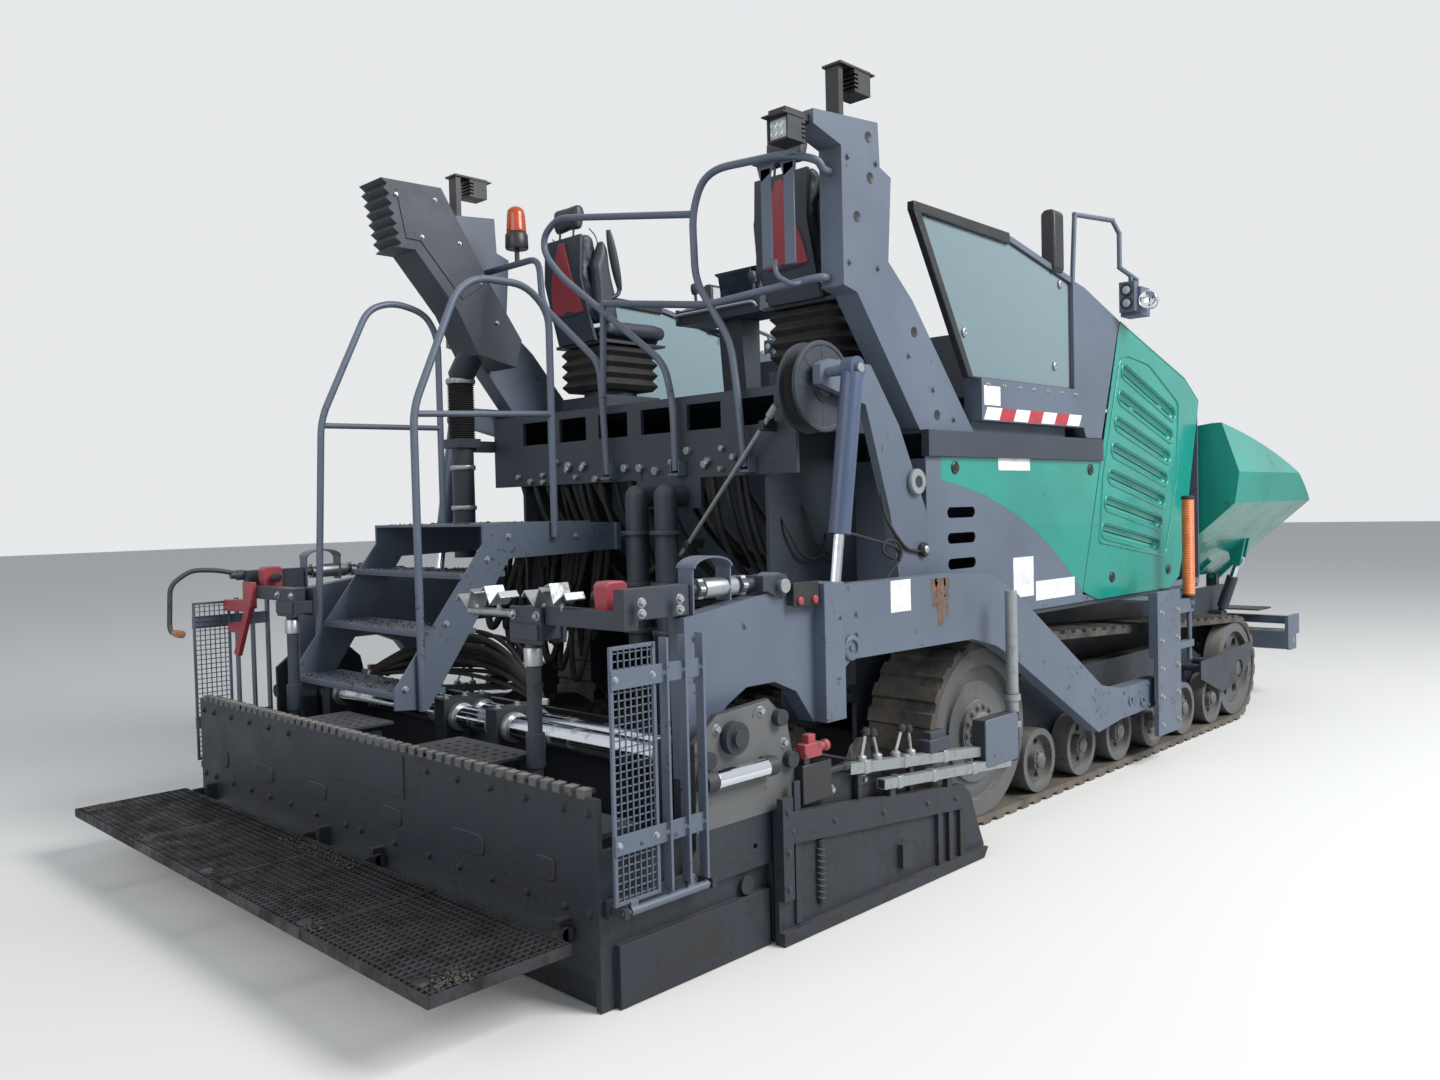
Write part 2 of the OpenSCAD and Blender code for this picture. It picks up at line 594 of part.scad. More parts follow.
// A work lamp that looks forward: a finned box with a sunk lens, under a visor
module lamp() {
    difference() {
        block([0, -lamp_size.y / 2, 0], lamp_size - [0, lamp_size.y / 2, 0]);
        block([lamp_size.x - 12, 8 - lamp_size.y / 2, 8], [lamp_size.x + 1, lamp_size.y / 2 - 8, lamp_size.z - 8]);
        for (i = [0 : lamp_fins - 1]) block([-1, -lamp_size.y / 2 - 1, 14 + i * 18], [24, lamp_size.y / 2 + 1, 23 + i * 18]);
    }
    block([10, -lamp_size.y / 2 - 4, lamp_size.z - 1], [lamp_size.x + 30, lamp_size.y / 2 + 4, lamp_size.z + 5]);
}

module lamp_pair() {
    block([tower_rear + 30, body_half - 140, 3172], [tower_rear + 60, body_half - 70, 3400]);
    block([tower_rear + 20, body_half - 150, 3390], [tower_rear + 230, body_half - 50, 3400]);
    translate([tower_rear + 110, body_half - 100, 3290]) lamp();
    block([tower_rear - 330, body_half - 150, 3100], [tower_rear - 180.3, body_half - 60, 3130]);
    translate([tower_rear - 225, body_half - 100, 3000]) rotate(180) lamp();
}

module work_lamps() color(soft_black) place() {
    on_side(-1) lamp_pair();
    translate([-left_tower_back, 0, 0]) lamp_pair();
}

rail_x = -1040;

module handrails() color(frame_grey) place() {
    tube_run([[rail_x, -820, 1730], [rail_x, -780, 2060], [rail_x, -750, 2270], [rail_x, -540, 2570], [rail_x, -530, 2870],
        [rail_x, -590, 3000], [rail_x, -690, 3040], [rail_x, -1080, 3010],
        [-960, -tower_in - 60, 2980], [-930, -tower_in - 60, 2940], [tower_rear - fit, -tower_in - 60, 2940]], rail_r);
    tube_run([[rail_x, -380, 1730], [rail_x, -370, 2030], [rail_x, -320, 2220], [rail_x, 430, 2740], [rail_x, 570, 2880],
        [rail_x, 570, 2980], [rail_x, 450, 3045], [rail_x, -529, 2870]], rail_r);
    tube_run([[rail_x, 110, 2560], [rail_x, -610, 2450], [-930, -tower_in - 40, 2500], [tower_rear - fit, -tower_in - 40, 2500]], rail_r);
    tube_run([[rail_x, 110, 1900], [rail_x, 150, 2270], [rail_x, 600, 2620], [rail_x, 620, 2870], [rail_x, tower_in - fit, 2870]], rail_r);
    for (y = [-820, -380, 110]) block([rail_x, y - 30, 1700], [-1000 - fit, y + 30, 1760]);
    outer_y = stair_y1 + rail_r + tube_step + fit;
    inner_y = stair_y0 - rail_r - tube_step - fit;
    tube_run([[-2100, outer_y, 700], [-2040, outer_y, 2020], [-1770, outer_y, 2590], [-1620, outer_y, 2640], [-1440, outer_y, 2600],
        [-1370, outer_y, 2480], [-1370, outer_y, 1420]], rail_r);
    tube_run([[-2120, inner_y, 700], [-2120, inner_y, 1990], [-1890, inner_y, 2520], [-1780, inner_y, 2590], [-1520, inner_y, 2590],
        [-1390, inner_y, 2480], [-1390, inner_y, 1420]], rail_r);
    bar([-2040, outer_y, 1990], [-1370, outer_y, 2000], rail_r - 3);
    bar([-2120, inner_y, 1970], [-1390, inner_y, 2000], rail_r - 3);
    translate([rail_x, 810, 2950]) cylinder(h = 90, r = 60);
    bar([rail_x, 810, 2870], [rail_x, 810, 2955], rail_r - 4);
    translate([rail_x, 810, 3030]) cylinder(h = 150, r1 = 55, r2 = 40);
}

stair_y0 = 110;
stair_y1 = 1070;

module stairs() color(frame_grey) place() {
    block([-1780, stair_y0, 1480], [-1160, stair_y1, 1492]);
    for (y = [stair_y0, stair_y1 - 12])
        plate_xz([[-1780, 1492], [-1780, 1400], [-2240, 800], [-2240, 715], [-2080, 700], [-1640, 1330], [-1160, 1340], [-1160, 1492]], y, 12);
    for (k = [0, 1, 2]) block([-2235 + k * 165, stair_y0 + 1, 760 + k * 245], [-1995 + k * 165, stair_y1 - 1, 785 + k * 245]);
    for (y = [stair_y0, stair_y1 - 20]) block([-1165, y, 1345], [-1005, y + 20, 1480]);
    block([-1010, stair_y0 - 20, 1345], [-980 - fit, stair_y1 - 1, 1480]);
}

slat_pitch = 153;

module conveyor() color("#55524d") place() both_sides() {
    for (y = [40, tunnel_y - 60]) block([-560, y, tunnel_z + fit], [chassis_front - 40, y + 40, tunnel_z + 45]);
    for (x = [-520 : slat_pitch : chassis_front - 100]) block([x, 60, tunnel_z + 20], [x + 25, tunnel_y - 40, tunnel_z + 50]);
}

column_x0 = tow_x - 140;
column_x1 = tow_x + 180;
mast_x = tow_x + 395;

module tow_guides() color(frame_grey) place() both_sides() {
    block([column_x0, arm_out + 30, 180], [column_x1, arm_out + 55, 1000]);
    block([column_x1 - 25, arm_in + 15, 180], [column_x1, arm_out + 35, 1000]);
    block([column_x0, arm_out + 3, 620], [column_x0 + 25, arm_out + 35, 1000]);
    block([column_x0 + 20, body_half - 20, deck_under - 65], [column_x1, arm_out + 40, deck_under - 50 - fit]);
    bar_y(tow_x, tow_z, tow_pin_d / 2, arm_in - 5, arm_out + 32);
    bar([mast_x, arm_out + 20, 560], [mast_x, arm_out + 20, 900], 14);
    bar([mast_x, arm_out + 20, 890], [mast_x, arm_out + 20, 1540], 32);
    block([column_x1 - 1, arm_out, 640], [mast_x + 22, arm_out + 40, 680]);
    block([column_x1 - 1, arm_out, 850], [mast_x + 22, arm_out + 40, 930]);
}

wing_crease = [wing_hinge_y + 650, 1490];
wing_mid = [wing_hinge_y + 680, 1690];
wing_rim = [wing_hinge_y + 570, 2020];
wing_pin = [wing_hinge_y + 280, 1060];
wing_foot = [wing_hinge_y + 140, 640];
wing_cyl_x = hopper_front - 400;
wing_pin_r = 16;
wing_eye_slack = 12;

function wing_line() = [[wing_hinge_y + 36, wing_hinge_z + 30], wing_crease, wing_mid, wing_rim];

// Height of the wing's sloping sheet at a distance y from the middle plane
function wing_under(y) = wing_hinge_z + 30 + (y - wing_hinge_y - 36) * (wing_crease.y - wing_hinge_z - 30) / (wing_crease.x - wing_hinge_y - 36);

// A band of the given thickness along an open line, on its left hand side
function band(line, t) = concat(line, [for (i = [len(line) - 1 : -1 : 0]) let (
    a = line[max(i - 1, 0)], b = line[min(i + 1, len(line) - 1)], d = (b - a) / norm(b - a)) line[i] + t * [-d.y, d.x]]);

module wing() {
    difference() {
        union() {
            plate_yz(band(wing_line(), wing_t), hopper_rear, hopper_front - hopper_rear);
            plate_yz(concat(wing_line(), [[wing_hinge_y + 400, 2000], [wing_hinge_y + 150, 1300]]), hopper_rear, wing_t);
        }
        plate_xz(concat(curve([hopper_rear - 10, wing_rim.y - 5], [hopper_front - 450, 1850], [hopper_front + 10, wing_crease.y], 12),
            [[hopper_front + 10, 2200], [hopper_rear - 10, 2200]]), 0, 2000);
    }
    for (x = [hopper_rear + 40, (hopper_rear + hopper_front) / 2, hopper_front - 180]) difference() {
        union() {
            plate_yz([[wing_hinge_y - 30, wing_hinge_z + 10], [wing_hinge_y + 20, wing_hinge_z - 30],
                [wing_hinge_y + 190, wing_hinge_z + 140], [wing_hinge_y + 160, wing_hinge_z + 160]], x + 60 + run, 30);
            translate([x + 60 + run, wing_hinge_y, wing_hinge_z]) rotate([0, 90, 0]) cylinder(h = 30, r = 38);
        }
    }
    for (x = [hopper_rear + 40, (hopper_rear + hopper_front) / 2, hopper_front - 180])
        translate([x - 10, wing_hinge_y, wing_hinge_z]) rotate([0, 90, 0]) cylinder(h = 80, r = hinge_pin_r);
    for (x = [wing_cyl_x - 52, wing_cyl_x + 32]) plate_yz([wing_pin - [30, 30], wing_pin + [30, -30],
        [wing_pin.x + 70, wing_under(wing_pin.x + 70) + 4], [wing_pin.x - 50, wing_under(wing_pin.x - 50) + 4]], x, 20);
    translate([wing_cyl_x - 50, wing_pin.x, wing_pin.y]) rotate([0, 90, 0]) cylinder(h = 100, r = wing_pin_r);
}

module hopper_left() color(panel_green) place() wing();

module hopper_right() color(panel_green) place() on_side(-1) wing();

wing_dir = (wing_pin - wing_foot) / norm(wing_pin - wing_foot);

wing_v = [0, wing_dir.x, wing_dir.y];
wing_foot_at = [wing_cyl_x, wing_foot.x, wing_foot.y];
wing_cyl_len = norm(wing_pin - wing_foot);

module wing_barrel() difference() {
    union() {
        translate(wing_foot_at) rotate([0, 90, 0]) cylinder(h = 50, r = 36, center = true);
        bar(wing_foot_at + 20 * wing_v, wing_foot_at + 74 * wing_v, 24);
        bar(wing_foot_at + 73 * wing_v, wing_foot_at + 315 * wing_v, 40);
    }
    translate(wing_foot_at) rotate([0, 90, 0]) cylinder(h = 60, r = wing_pin_r + run, center = true);
    bar(wing_foot_at + 84 * wing_v, wing_foot_at + 325 * wing_v, 22 + run);
}

module wing_rod() {
    difference() {
        union() {
            bar(wing_foot_at + 165 * wing_v, wing_foot_at + (wing_cyl_len - 30) * wing_v, 22);
            translate(wing_foot_at + wing_cyl_len * wing_v) rotate([0, 90, 0]) cylinder(h = 50, r = 42, center = true);
        }
        translate(wing_foot_at + wing_cyl_len * wing_v) rotate([0, 90, 0])
            cylinder(h = 60, r = wing_pin_r + wing_eye_slack, center = true);
    }
}

module wing_barrel_left() color(dark_grey) place() wing_barrel();
module wing_barrel_right() color(dark_grey) place() on_side(-1) wing_barrel();
module wing_rod_left() color(chrome) place() wing_rod();
module wing_rod_right() color(chrome) place() on_side(-1) wing_rod();

apron_axis = [chassis_front + 50, 640];
apron_half = side_y + 250;

module hopper_apron() color(soft_black) place() {
    plate_xz([[apron_axis.x + 30, 655], [apron_axis.x + 290, 655], [apron_axis.x + 290, 667], [apron_axis.x + 30, 667]], -apron_half, 2 * apron_half);
    difference() {
        bar_y(apron_axis.x, apron_axis.y, 24, 10 - tunnel_y, tunnel_y - 10);
        bar_y(apron_axis.x, apron_axis.y, 12 + run, 9 - tunnel_y, tunnel_y - 9);
    }
    plate_xz([[apron_axis.x + 10, 648], [apron_axis.x + 35, 648], [apron_axis.x + 35, 660], [apron_axis.x + 10, 660]], 10 - tunnel_y, 2 * tunnel_y - 20);
}

module push_beam() color(frame_grey) place() {
    difference() {
        union() {
            block([beam_x - 60, -beam_half, 370], [beam_x - 20, beam_half, 500]);
            block([pivot_x, -45, 372], [beam_x - 59, 45, 428]);
            translate([pivot_x, 0, 372]) cylinder(h = 56, r = 45);
            translate([pivot_x, 0, 342]) cylinder(h = 116, r = 30);
        }
        translate([pivot_x, 0, 300]) cylinder(h = 200, r = 12);
    }
    for (y = [-beam_half, -60, 35, beam_half - 25]) difference() {
        block([beam_x - 21, y, 360], [beam_x + 120, y + 25, 500]);
        bar_y(roller_x, roller_z, 25 + run, y - 1, y + 26);
    }
    for (y = [-beam_half, beam_half - 25]) block([beam_x - 60, y, 470], [front_reach, y + 25, 620]);
    block([front_reach - 60, -beam_half, 540], [front_reach, beam_half, 600]);
}

beam_half = belt_out - 10;
roller_x = beam_x + 70;
roller_z = 430;
roller_r = 80;

module push_rollers() color(zinc) place() {
    both_sides() bar_y(roller_x, roller_z, roller_r, 65, beam_half - 30);
    bar_y(roller_x, roller_z, 25, 2 - beam_half, beam_half - 2);
}

auger_in = 45 + fit;
auger_out = screed_half - 45;

module auger() {
    bar_y(-auger_x, auger_z, 45, auger_in, auger_out);
    translate([-auger_x, auger_out - 10, auger_z]) rotate([90, 0, 0])
        linear_extrude(height = auger_out - auger_in - 20, twist = 360 * 4, slices = 64, $fn = 8) translate([30, -6]) square([auger_r - 30, 12]);
}

module auger_left() color("#6b655c") place() auger();

module auger_right() color("#6b655c") place() on_side(-1) auger();

arm_line = concat([[-2050, 1170], [-1600, 1230], [-360, 1225], [-100, 1205], [130, 1110], [1020, 545], [1250, 500]],
    arc([tow_x, tow_z], 80, 90, -90, 10), [[1250, 330], [980, 300], [100, 800], [-50, 870], [-250, 920], [-1140, 930], [-1250, 860],
    [-1360, 720], [-1380, 720], [-1480, 850], [-1600, 900], [-1750, 900], [-1850, 850], [-1965, 760], [-1965, 620],
    [-2045, 620], [-2045, 760], [-2050, 900]]);

module tow_arm() {
    difference() {
        union() {
            plate_xz(arm_line, arm_in, arm_t);
            block([-1370, arm_in, 720], [-1250, arm_in + 130, 1245]);
            bar_y(-1570, 1250, 48, arm_in, arm_in + arm_t);
        }
        bar_y(tow_x, tow_z, tow_pin_d / 2 + run, arm_in - 1, arm_in + arm_t + 1);
        block([-1248, lift_y - 30, lift_low.y - 75], [-1140, lift_y + 31, 1300]);
    }
    bar_y(lift_low.x, lift_low.y, lift_pin_r, arm_in + 1, arm_out - 1);
}

module tow_arms() color(frame_grey) place() both_sides() tow_arm();

base_front = 1740;
guide_z = 640;
guide_r = 50;
guide_xs = [-1790, -1905];
low_z = 3;

module screed_frame() color(dark_grey) place() {
    block([-screed_rear + 19, 20 - screed_half, low_z], [-base_front, screed_half - 20, 220]);
    both_sides() plate_xz([[-screed_rear, low_z], [-screed_rear, 500], [-base_front, 440], [-base_front, low_z]], screed_half - 25, 25);
    block([-screed_rear, -screed_half, 100], [-screed_rear + 20, screed_half, wall_z]);
    for (y = [500 : 70 : screed_half - 110]) both_sides() block([-screed_rear, y, wall_z - 1], [-screed_rear + 60, y + 40, wall_z + 14]);
    both_sides() block([-2045, arm_in, 215], [-1965, arm_in + arm_t, 620 - fit]);
    for (pad = step_pads) difference() {
        union() {
            block([4 - screed_rear, pad[0], wall_z + 8], [235 - screed_rear, pad[1], wall_z + 20]);
            for (y = [pad[0] + 40, pad[1] - 70]) block([12 - screed_rear, y, wall_z - 120], [200 - screed_rear, y + 30, wall_z + 9]);
        }
        for (x = [40 : 45 : 200]) for (y = [pad[0] + 35 : 60 : pad[1] - 40])
            translate([x - screed_rear, y, wall_z]) cylinder(h = 30, r = 11, $fn = 16);
    }
    block([-screed_rear - 5, -400, wall_z - 180], [1 - screed_rear, 210, wall_z - 20]);
    both_sides() {
        block([58 - screed_rear, screed_half - 1, low_z], [-base_front - 12, end_y + 20, 200]);
        bar_y(-1855, 236, 32, screed_half - 1, end_y + 14);
        block([30 - screed_rear, 1130, 499], [210 - screed_rear, 1180, 590]);
    }
    for (y = [-1300, -250, 150, 1220]) difference() {
        block([guide_xs[1] - 75, y, 215], [guide_xs[0] + 55, y + 80, guide_z + 80]);
        for (x = guide_xs) bar_y(x, guide_z, guide_r + run, y - 1, y + 81);
    }
    both_sides() block([-screed_rear + 19, 1100, 480], [-screed_rear + 300, arm_in - 5, 500]);
    both_sides() block([-screed_rear + 19, 300, 480], [-screed_rear + 240, 1000, 500]);
    both_sides() for (y = [200, screed_half - 175]) difference() {
        block([-screed_rear - 50, y, 190], [-screed_rear + 1, y + 40, 270]);
        bar_y(walk_axis.x, walk_axis.y, 10 + run, y - 1, y + 41);
    }
}

// Treads on top of the rear wall, each from one side to the other
step_pads = [[80, 480], [-900, -420]];

strut_x = 210 - screed_rear;

module screed_fittings() color(zinc) place() both_sides() {
    bar([-2020, arm_in + 35, 1262], [-1650, arm_in + 35, 1262], 22);
    bar([-1930, arm_in + 35, 1262], [-1760, arm_in + 35, 1262], 31);
    for (x = [-1960, -1745]) bar([x, arm_in + 35, 1262], [x + 22, arm_in + 35, 1262], 36);
    block([-1665, arm_in - 14, 1234], [-1640, arm_out + 14, 1290]);
    for (y = [arm_in - 14, arm_out + fit]) plate_xz(concat([[-1645, 1236], [-1600, 1212]], arc([-1570, 1250], 48, -60, 60, 6),
        [[-1600, 1290], [-1645, 1288]]), y, 14 - fit);
    bar([strut_x, 940, 500 + fit], [strut_x, 940, 1100], 26);
    block([strut_x - 48, 892, 500 + fit], [strut_x + 29, 988, 514]);
    bar([strut_x, 940, 640], [strut_x, 940, 760], 34);
    block([strut_x - 40, 860, 1095], [strut_x + 90, 1020, 1150]);
    for (x = [strut_x - 30, strut_x + 66]) block([x, 850, 1080], [x + 14, 1030, 1210]);
    block([strut_x - 10, 900, 1149], [strut_x + 50, arm_in + 60, 1210]);
    block([strut_x - 10, arm_in + 10, 1180], [-2010, arm_in + 60, 1284]);
}

guard_y = screed_half + 75;
bolt_centre = [-1950, 455];
guard_z = 320;
guard_x = [60 - screed_rear, 390 - screed_rear];
end_y = screed_half + 5;

plate_out = end_y + 20;
gate_y = end_y + 35;
gate_face = gate_y + 20;
gate_rear = -base_front - 4;
gate_front = -568;
gate_fall = 0.106;

// Height of the top edge of the end gate
function gate_top(x) = 470 - (x - gate_rear) * gate_fall;

// A square rail that falls forwards, beside the end gate
module rail(x0, z0, x1, z1, y, w) plate_xz([[x0, z0 - w / 2], [x1, z1 - w / 2], [x1, z1 + w / 2], [x0, z0 + w / 2]], y - w / 2, w);

module end_gate() {
    plate_xz([[gate_rear, low_z], [gate_rear, gate_top(gate_rear)], [gate_front, gate_top(gate_front)], [-500, 300], [-440, 150],
        [-394, 50], [-430, low_z]], gate_y, 21);
    plate_xz([[gate_rear, gate_top(gate_rear) - 112], [gate_front, gate_top(gate_front) - 100], [gate_front, gate_top(gate_front)],
        [gate_rear, gate_top(gate_rear)]], gate_face, 22);
    plate_xz([[gate_rear, low_z], [gate_rear, 48], [-450, 48], [-400, 44], [-432, low_z]], gate_face, 26);
    for (x = [-770, -690, -606]) block([x, gate_face, 40], [x + 30, gate_face + 18, gate_top(x) - 90]);
    block([-1030, gate_face, 100], [-975, gate_face + 24, 195]);
    block([gate_rear, gate_face, 160], [gate_rear + 55, gate_face + 28, 520]);
    block([-1662, gate_face, 60], [-1630, gate_face + 12, 565]);
    bar([-1520, gate_face + 8, 95], [-1520, gate_face + 8, 330], 13);
    for (x = [-1300, -1500]) bar_y(x, 320, 30, end_y + 10, gate_y + 5);
    rail(-1325, 547, -395, 453, gate_y + 4, 40);
    rail(-1147, 458, -200, 377, gate_y + 30, 38);
    for (x = [-1270, -930]) block([x, gate_y - 8, gate_top(x) - 40], [x + 26, gate_y + 14, 540 - (x + 1325) * 0.1]);
    for (x = [-1100, -700]) block([x, gate_y + 14, gate_top(x) - 40], [x + 34, gate_y + 40, 460 - (x + 1147) * 0.086]);
    block([-411, gate_y - 16, 375], [-120, gate_y + 46, 590]);
    bar([post_x, gate_y + 15, 380], [post_x, gate_y + 15, 1130], 24);
    for (z = [520, 640]) bar([post_x, gate_y + 15, z], [post_x, gate_y + 15, z + 30], 33);
}

post_x = -120;

module extension(tube_x) {
    block([-base_front + 5, 20, low_z], [-1080, end_y + 1, 200]);
    block([-1110, 20, low_z + 10], [-1080, end_y + 1, 520]);
    block([-base_front + 5, 20, 190], [-base_front + 20, end_y + 1, 540]);
    difference() {
        plate_xz([[20 - screed_rear, 290], [20 - screed_rear, 350], [-2160, 350], [-2106, 420], [-2106, 768], [-2000, 850],
            [-1737, 868], [-1640, 780], [-1590, 560], [-1080, 520], [-1080, low_z + 10],
            [-base_front + 5, low_z + 10], [-base_front + 5, 290]], end_y, 20);
        for (x = [-130, 130]) for (z = [-90, 90])
            bar_y(bolt_centre.x + x, bolt_centre.y + z, 10.5, end_y - 30, end_y + 70);
    }
    bar_y(tube_x, guide_z, guide_r, 125 - screed_half, end_y + 1);
    bar_y(-1930, 763, 56, plate_out - 1, plate_out + 34);
    bar_y(-1930, 763, 30, plate_out - 1, plate_out + 52);
    for (p = [[-2056, 707], [-1694, 796], [-1640, 639]]) bar_y(p.x, p.y, 30, plate_out - 1, plate_out + 30);
    bar([-2095, plate_out + 30, 640], [-1745, plate_out + 30, 640], 32);
    for (x = [-2095, -1790]) block([x, plate_out - 1, 608], [x + 45, plate_out + 42, 672]);
    end_gate();
    for (x = [guard_x[0] - 32, guard_x[1] + 12]) difference() {
        block([x, end_y + 19, guard_z - 16], [x + 20, guard_y + 14, guard_z + 16]);
        translate([x - 1, guard_y, guard_z]) rotate([0, 90, 0]) cylinder(h = 22, r = 8 + run);
    }
}

module extension_left() color(dark_grey) place() extension(guide_xs[0]);

module extension_right() color(dark_grey) place() on_side(-1) extension(guide_xs[1]);

walk_axis = [-screed_rear - 32, 230];

module walkway() color("#3a3a3b") place() {
    x0 = -rear_reach;
    x1 = -screed_rear - walk_gap;
    both_sides() {
        difference() {
            block([x0, 2, 205], [x1, screed_half - 25, 240]);
            block([x0 + 15, 17, 200], [x1 - 15, screed_half - 40, 250]);
        }
        for (i = [1 : 8]) block([x0 + i * (x1 - x0) / 9, 10, 212], [x0 + 6 + i * (x1 - x0) / 9, screed_half - 35, 238]);
        for (y = [102 : 100 : screed_half - 45]) block([x0 + 5, y, 214], [x1 - 5, y + 6, 236]);
        for (y = [242, screed_half - 133]) difference() {
            union() {
                block([x1 - 5, y, 205], [walk_axis.x, y + 20, 250]);
                bar_y(walk_axis.x, walk_axis.y, 22, y, y + 20);
            }
        }
        for (y = [195, screed_half - 180]) bar_y(walk_axis.x, walk_axis.y, 10, y, y + 66);
    }
}

mesh_x = 5 - screed_rear;

module guard() {
    difference() {
        block([mesh_x, guard_y - 10, 345], [mesh_x + 185, guard_y, 1130]);
        for (i = [0 : 2]) for (k = [0 : 9]) block([mesh_x + 20 + i * 52, guard_y - 11, 365 + k * 76], [mesh_x + 60 + i * 52, guard_y + 1, 425 + k * 76]);
    }
    for (x = [mesh_x + 215, mesh_x + 295, mesh_x + 373]) block([x, guard_y - 20, 345], [x + 12, guard_y + 20, 1140]);
    for (z = [500, 1000]) block([mesh_x, guard_y - 1, z], [guard_x[1], guard_y + 6, z + 60]);
    bar([guard_x[0], guard_y, guard_z], [guard_x[1], guard_y, guard_z], 14);
    bar([guard_x[0] - 28, guard_y, guard_z], [guard_x[1] + 28, guard_y, guard_z], 8);
    for (x = [guard_x[0], mesh_x + 295]) block([x, guard_y - 8, guard_z], [x + 30, guard_y + 5, 350]);
}

module guard_left() color(frame_grey) place() guard();
module guard_right() color(frame_grey) place() on_side(-1) guard();

lift_dir = (lift_low - lift_top) / norm(lift_low - lift_top);
lift_len = norm(lift_low - lift_top);
lift_barrel_len = 665;
lift_eye_slack = 4;

module lift_barrel() {
    top = [lift_top.x, lift_y, lift_top.y];
    v = [lift_dir.x, 0, lift_dir.y];
    difference() {
        union() {
            bar_y(top.x, top.z, 48, lift_y - 28, lift_y + 28);
            bar(top + 20 * v, top + lift_barrel_len * v, 45);
        }
        bar_y(top.x, top.z, lift_pin_r + run, lift_y - 60, lift_y + 60);
        bar(top + 80 * v, top + (lift_barrel_len + 10) * v, 22 + run);
    }
}

module lift_rod() {
    top = [lift_top.x, lift_y, lift_top.y];
    v = [lift_dir.x, 0, lift_dir.y];
    difference() {
        union() {
            bar(top + 280 * v, top + (lift_len - 30) * v, 22);
            bar_y(lift_low.x, lift_low.y, 42, lift_y - 26, lift_y + 26);
        }
        bar_y(lift_low.x, lift_low.y, lift_pin_r + lift_eye_slack, lift_y - 60, lift_y + 60);
    }
}

module lift_barrel_left() color(frame_grey) place() lift_barrel();
module lift_barrel_right() color(frame_grey) place() on_side(-1) lift_barrel();
module lift_rod_left() color(chrome) place() lift_rod();
module lift_rod_right() color(chrome) place() on_side(-1) lift_rod();

chassis();
track_frames();
track_left();
track_right();
wheels_left();
wheels_right();
engine();
hood_shell();
side_panels();
hood_lid();
platform();
side_screens();
screen_glass();
towers();
fume_duct();
work_lamps();
handrails();
stairs();
conveyor();
tow_guides();
console();
seat_left();
seat_right();
hose_reel();
hopper_left();
hopper_right();
wing_barrel_left();
wing_barrel_right();
wing_rod_left();
wing_rod_right();
hopper_apron();
push_beam();
push_rollers();
auger_left();
auger_right();
tow_arms();
screed_frame();
screed_fittings();
extension_left();
extension_right();
walkway();
guard_left();
guard_right();
lift_barrel_left();
lift_barrel_right();
lift_rod_left();
lift_rod_right();
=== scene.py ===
# A tracked asphalt paver with an extending screed, as a studio picture.
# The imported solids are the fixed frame. The sections follow the machine as it is put together, belts first.
# All is in metres: +X forward to the hopper, +Y to the left, +Z up from the ground.
import math

import bpy
import numpy as np
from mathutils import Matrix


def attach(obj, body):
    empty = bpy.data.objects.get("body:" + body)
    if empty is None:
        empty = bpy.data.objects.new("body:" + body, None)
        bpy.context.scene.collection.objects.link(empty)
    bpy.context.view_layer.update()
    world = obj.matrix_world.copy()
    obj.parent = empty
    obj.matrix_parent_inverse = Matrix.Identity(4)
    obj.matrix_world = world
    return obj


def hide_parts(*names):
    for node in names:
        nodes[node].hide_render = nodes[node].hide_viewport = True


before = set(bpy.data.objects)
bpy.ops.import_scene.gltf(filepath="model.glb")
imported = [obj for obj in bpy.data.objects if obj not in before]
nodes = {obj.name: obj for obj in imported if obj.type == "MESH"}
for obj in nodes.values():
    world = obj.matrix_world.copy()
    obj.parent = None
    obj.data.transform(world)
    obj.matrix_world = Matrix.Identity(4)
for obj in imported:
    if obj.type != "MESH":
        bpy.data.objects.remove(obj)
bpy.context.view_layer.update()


# Camera: a phone held at chest height behind the right rear corner of the screed, looking forward along the
# machine. Its place and turn were solved from the belts, wheels and screed.
eye = np.array([-5.420, -4.170, 1.539])
yaw, pitch, roll = 0.772010, 0.028697, -0.024249
forward = np.array([math.cos(yaw) * math.cos(pitch), math.sin(yaw) * math.cos(pitch), -math.sin(pitch)])
level_right = np.array([math.sin(yaw), -math.cos(yaw), 0.0])
level_up = np.cross(level_right, forward)
right = level_right * math.cos(roll) + level_up * math.sin(roll)
up = level_up * math.cos(roll) - level_right * math.sin(roll)
camera_data = bpy.data.cameras.new("camera")
camera_data.sensor_width = 36.0
camera_data.lens = 28.08
camera_data.clip_end = 200.0
camera = bpy.data.objects.new("camera", camera_data)
bpy.context.scene.collection.objects.link(camera)
pose = np.eye(4)
pose[:3, :] = np.column_stack([right, up, -forward, eye])
camera.matrix_world = pose.T.tolist()
bpy.context.scene.camera = camera
bpy.context.scene.view_settings.view_transform = "Standard"


# Studio: a plain pale floor, a sky that the camera and the reflections see as white, one broad lamp high on
# the machine's right and a weaker one behind the camera.
def linear(code):
    """An sRGB hex colour as linear red, green, blue and an alpha of one."""
    parts = [int(code[i : i + 2], 16) / 255 for i in (1, 3, 5)]
    return [c / 12.92 if c <= 0.04045 else ((c + 0.055) / 1.055) ** 2.4 for c in parts] + [1.0]


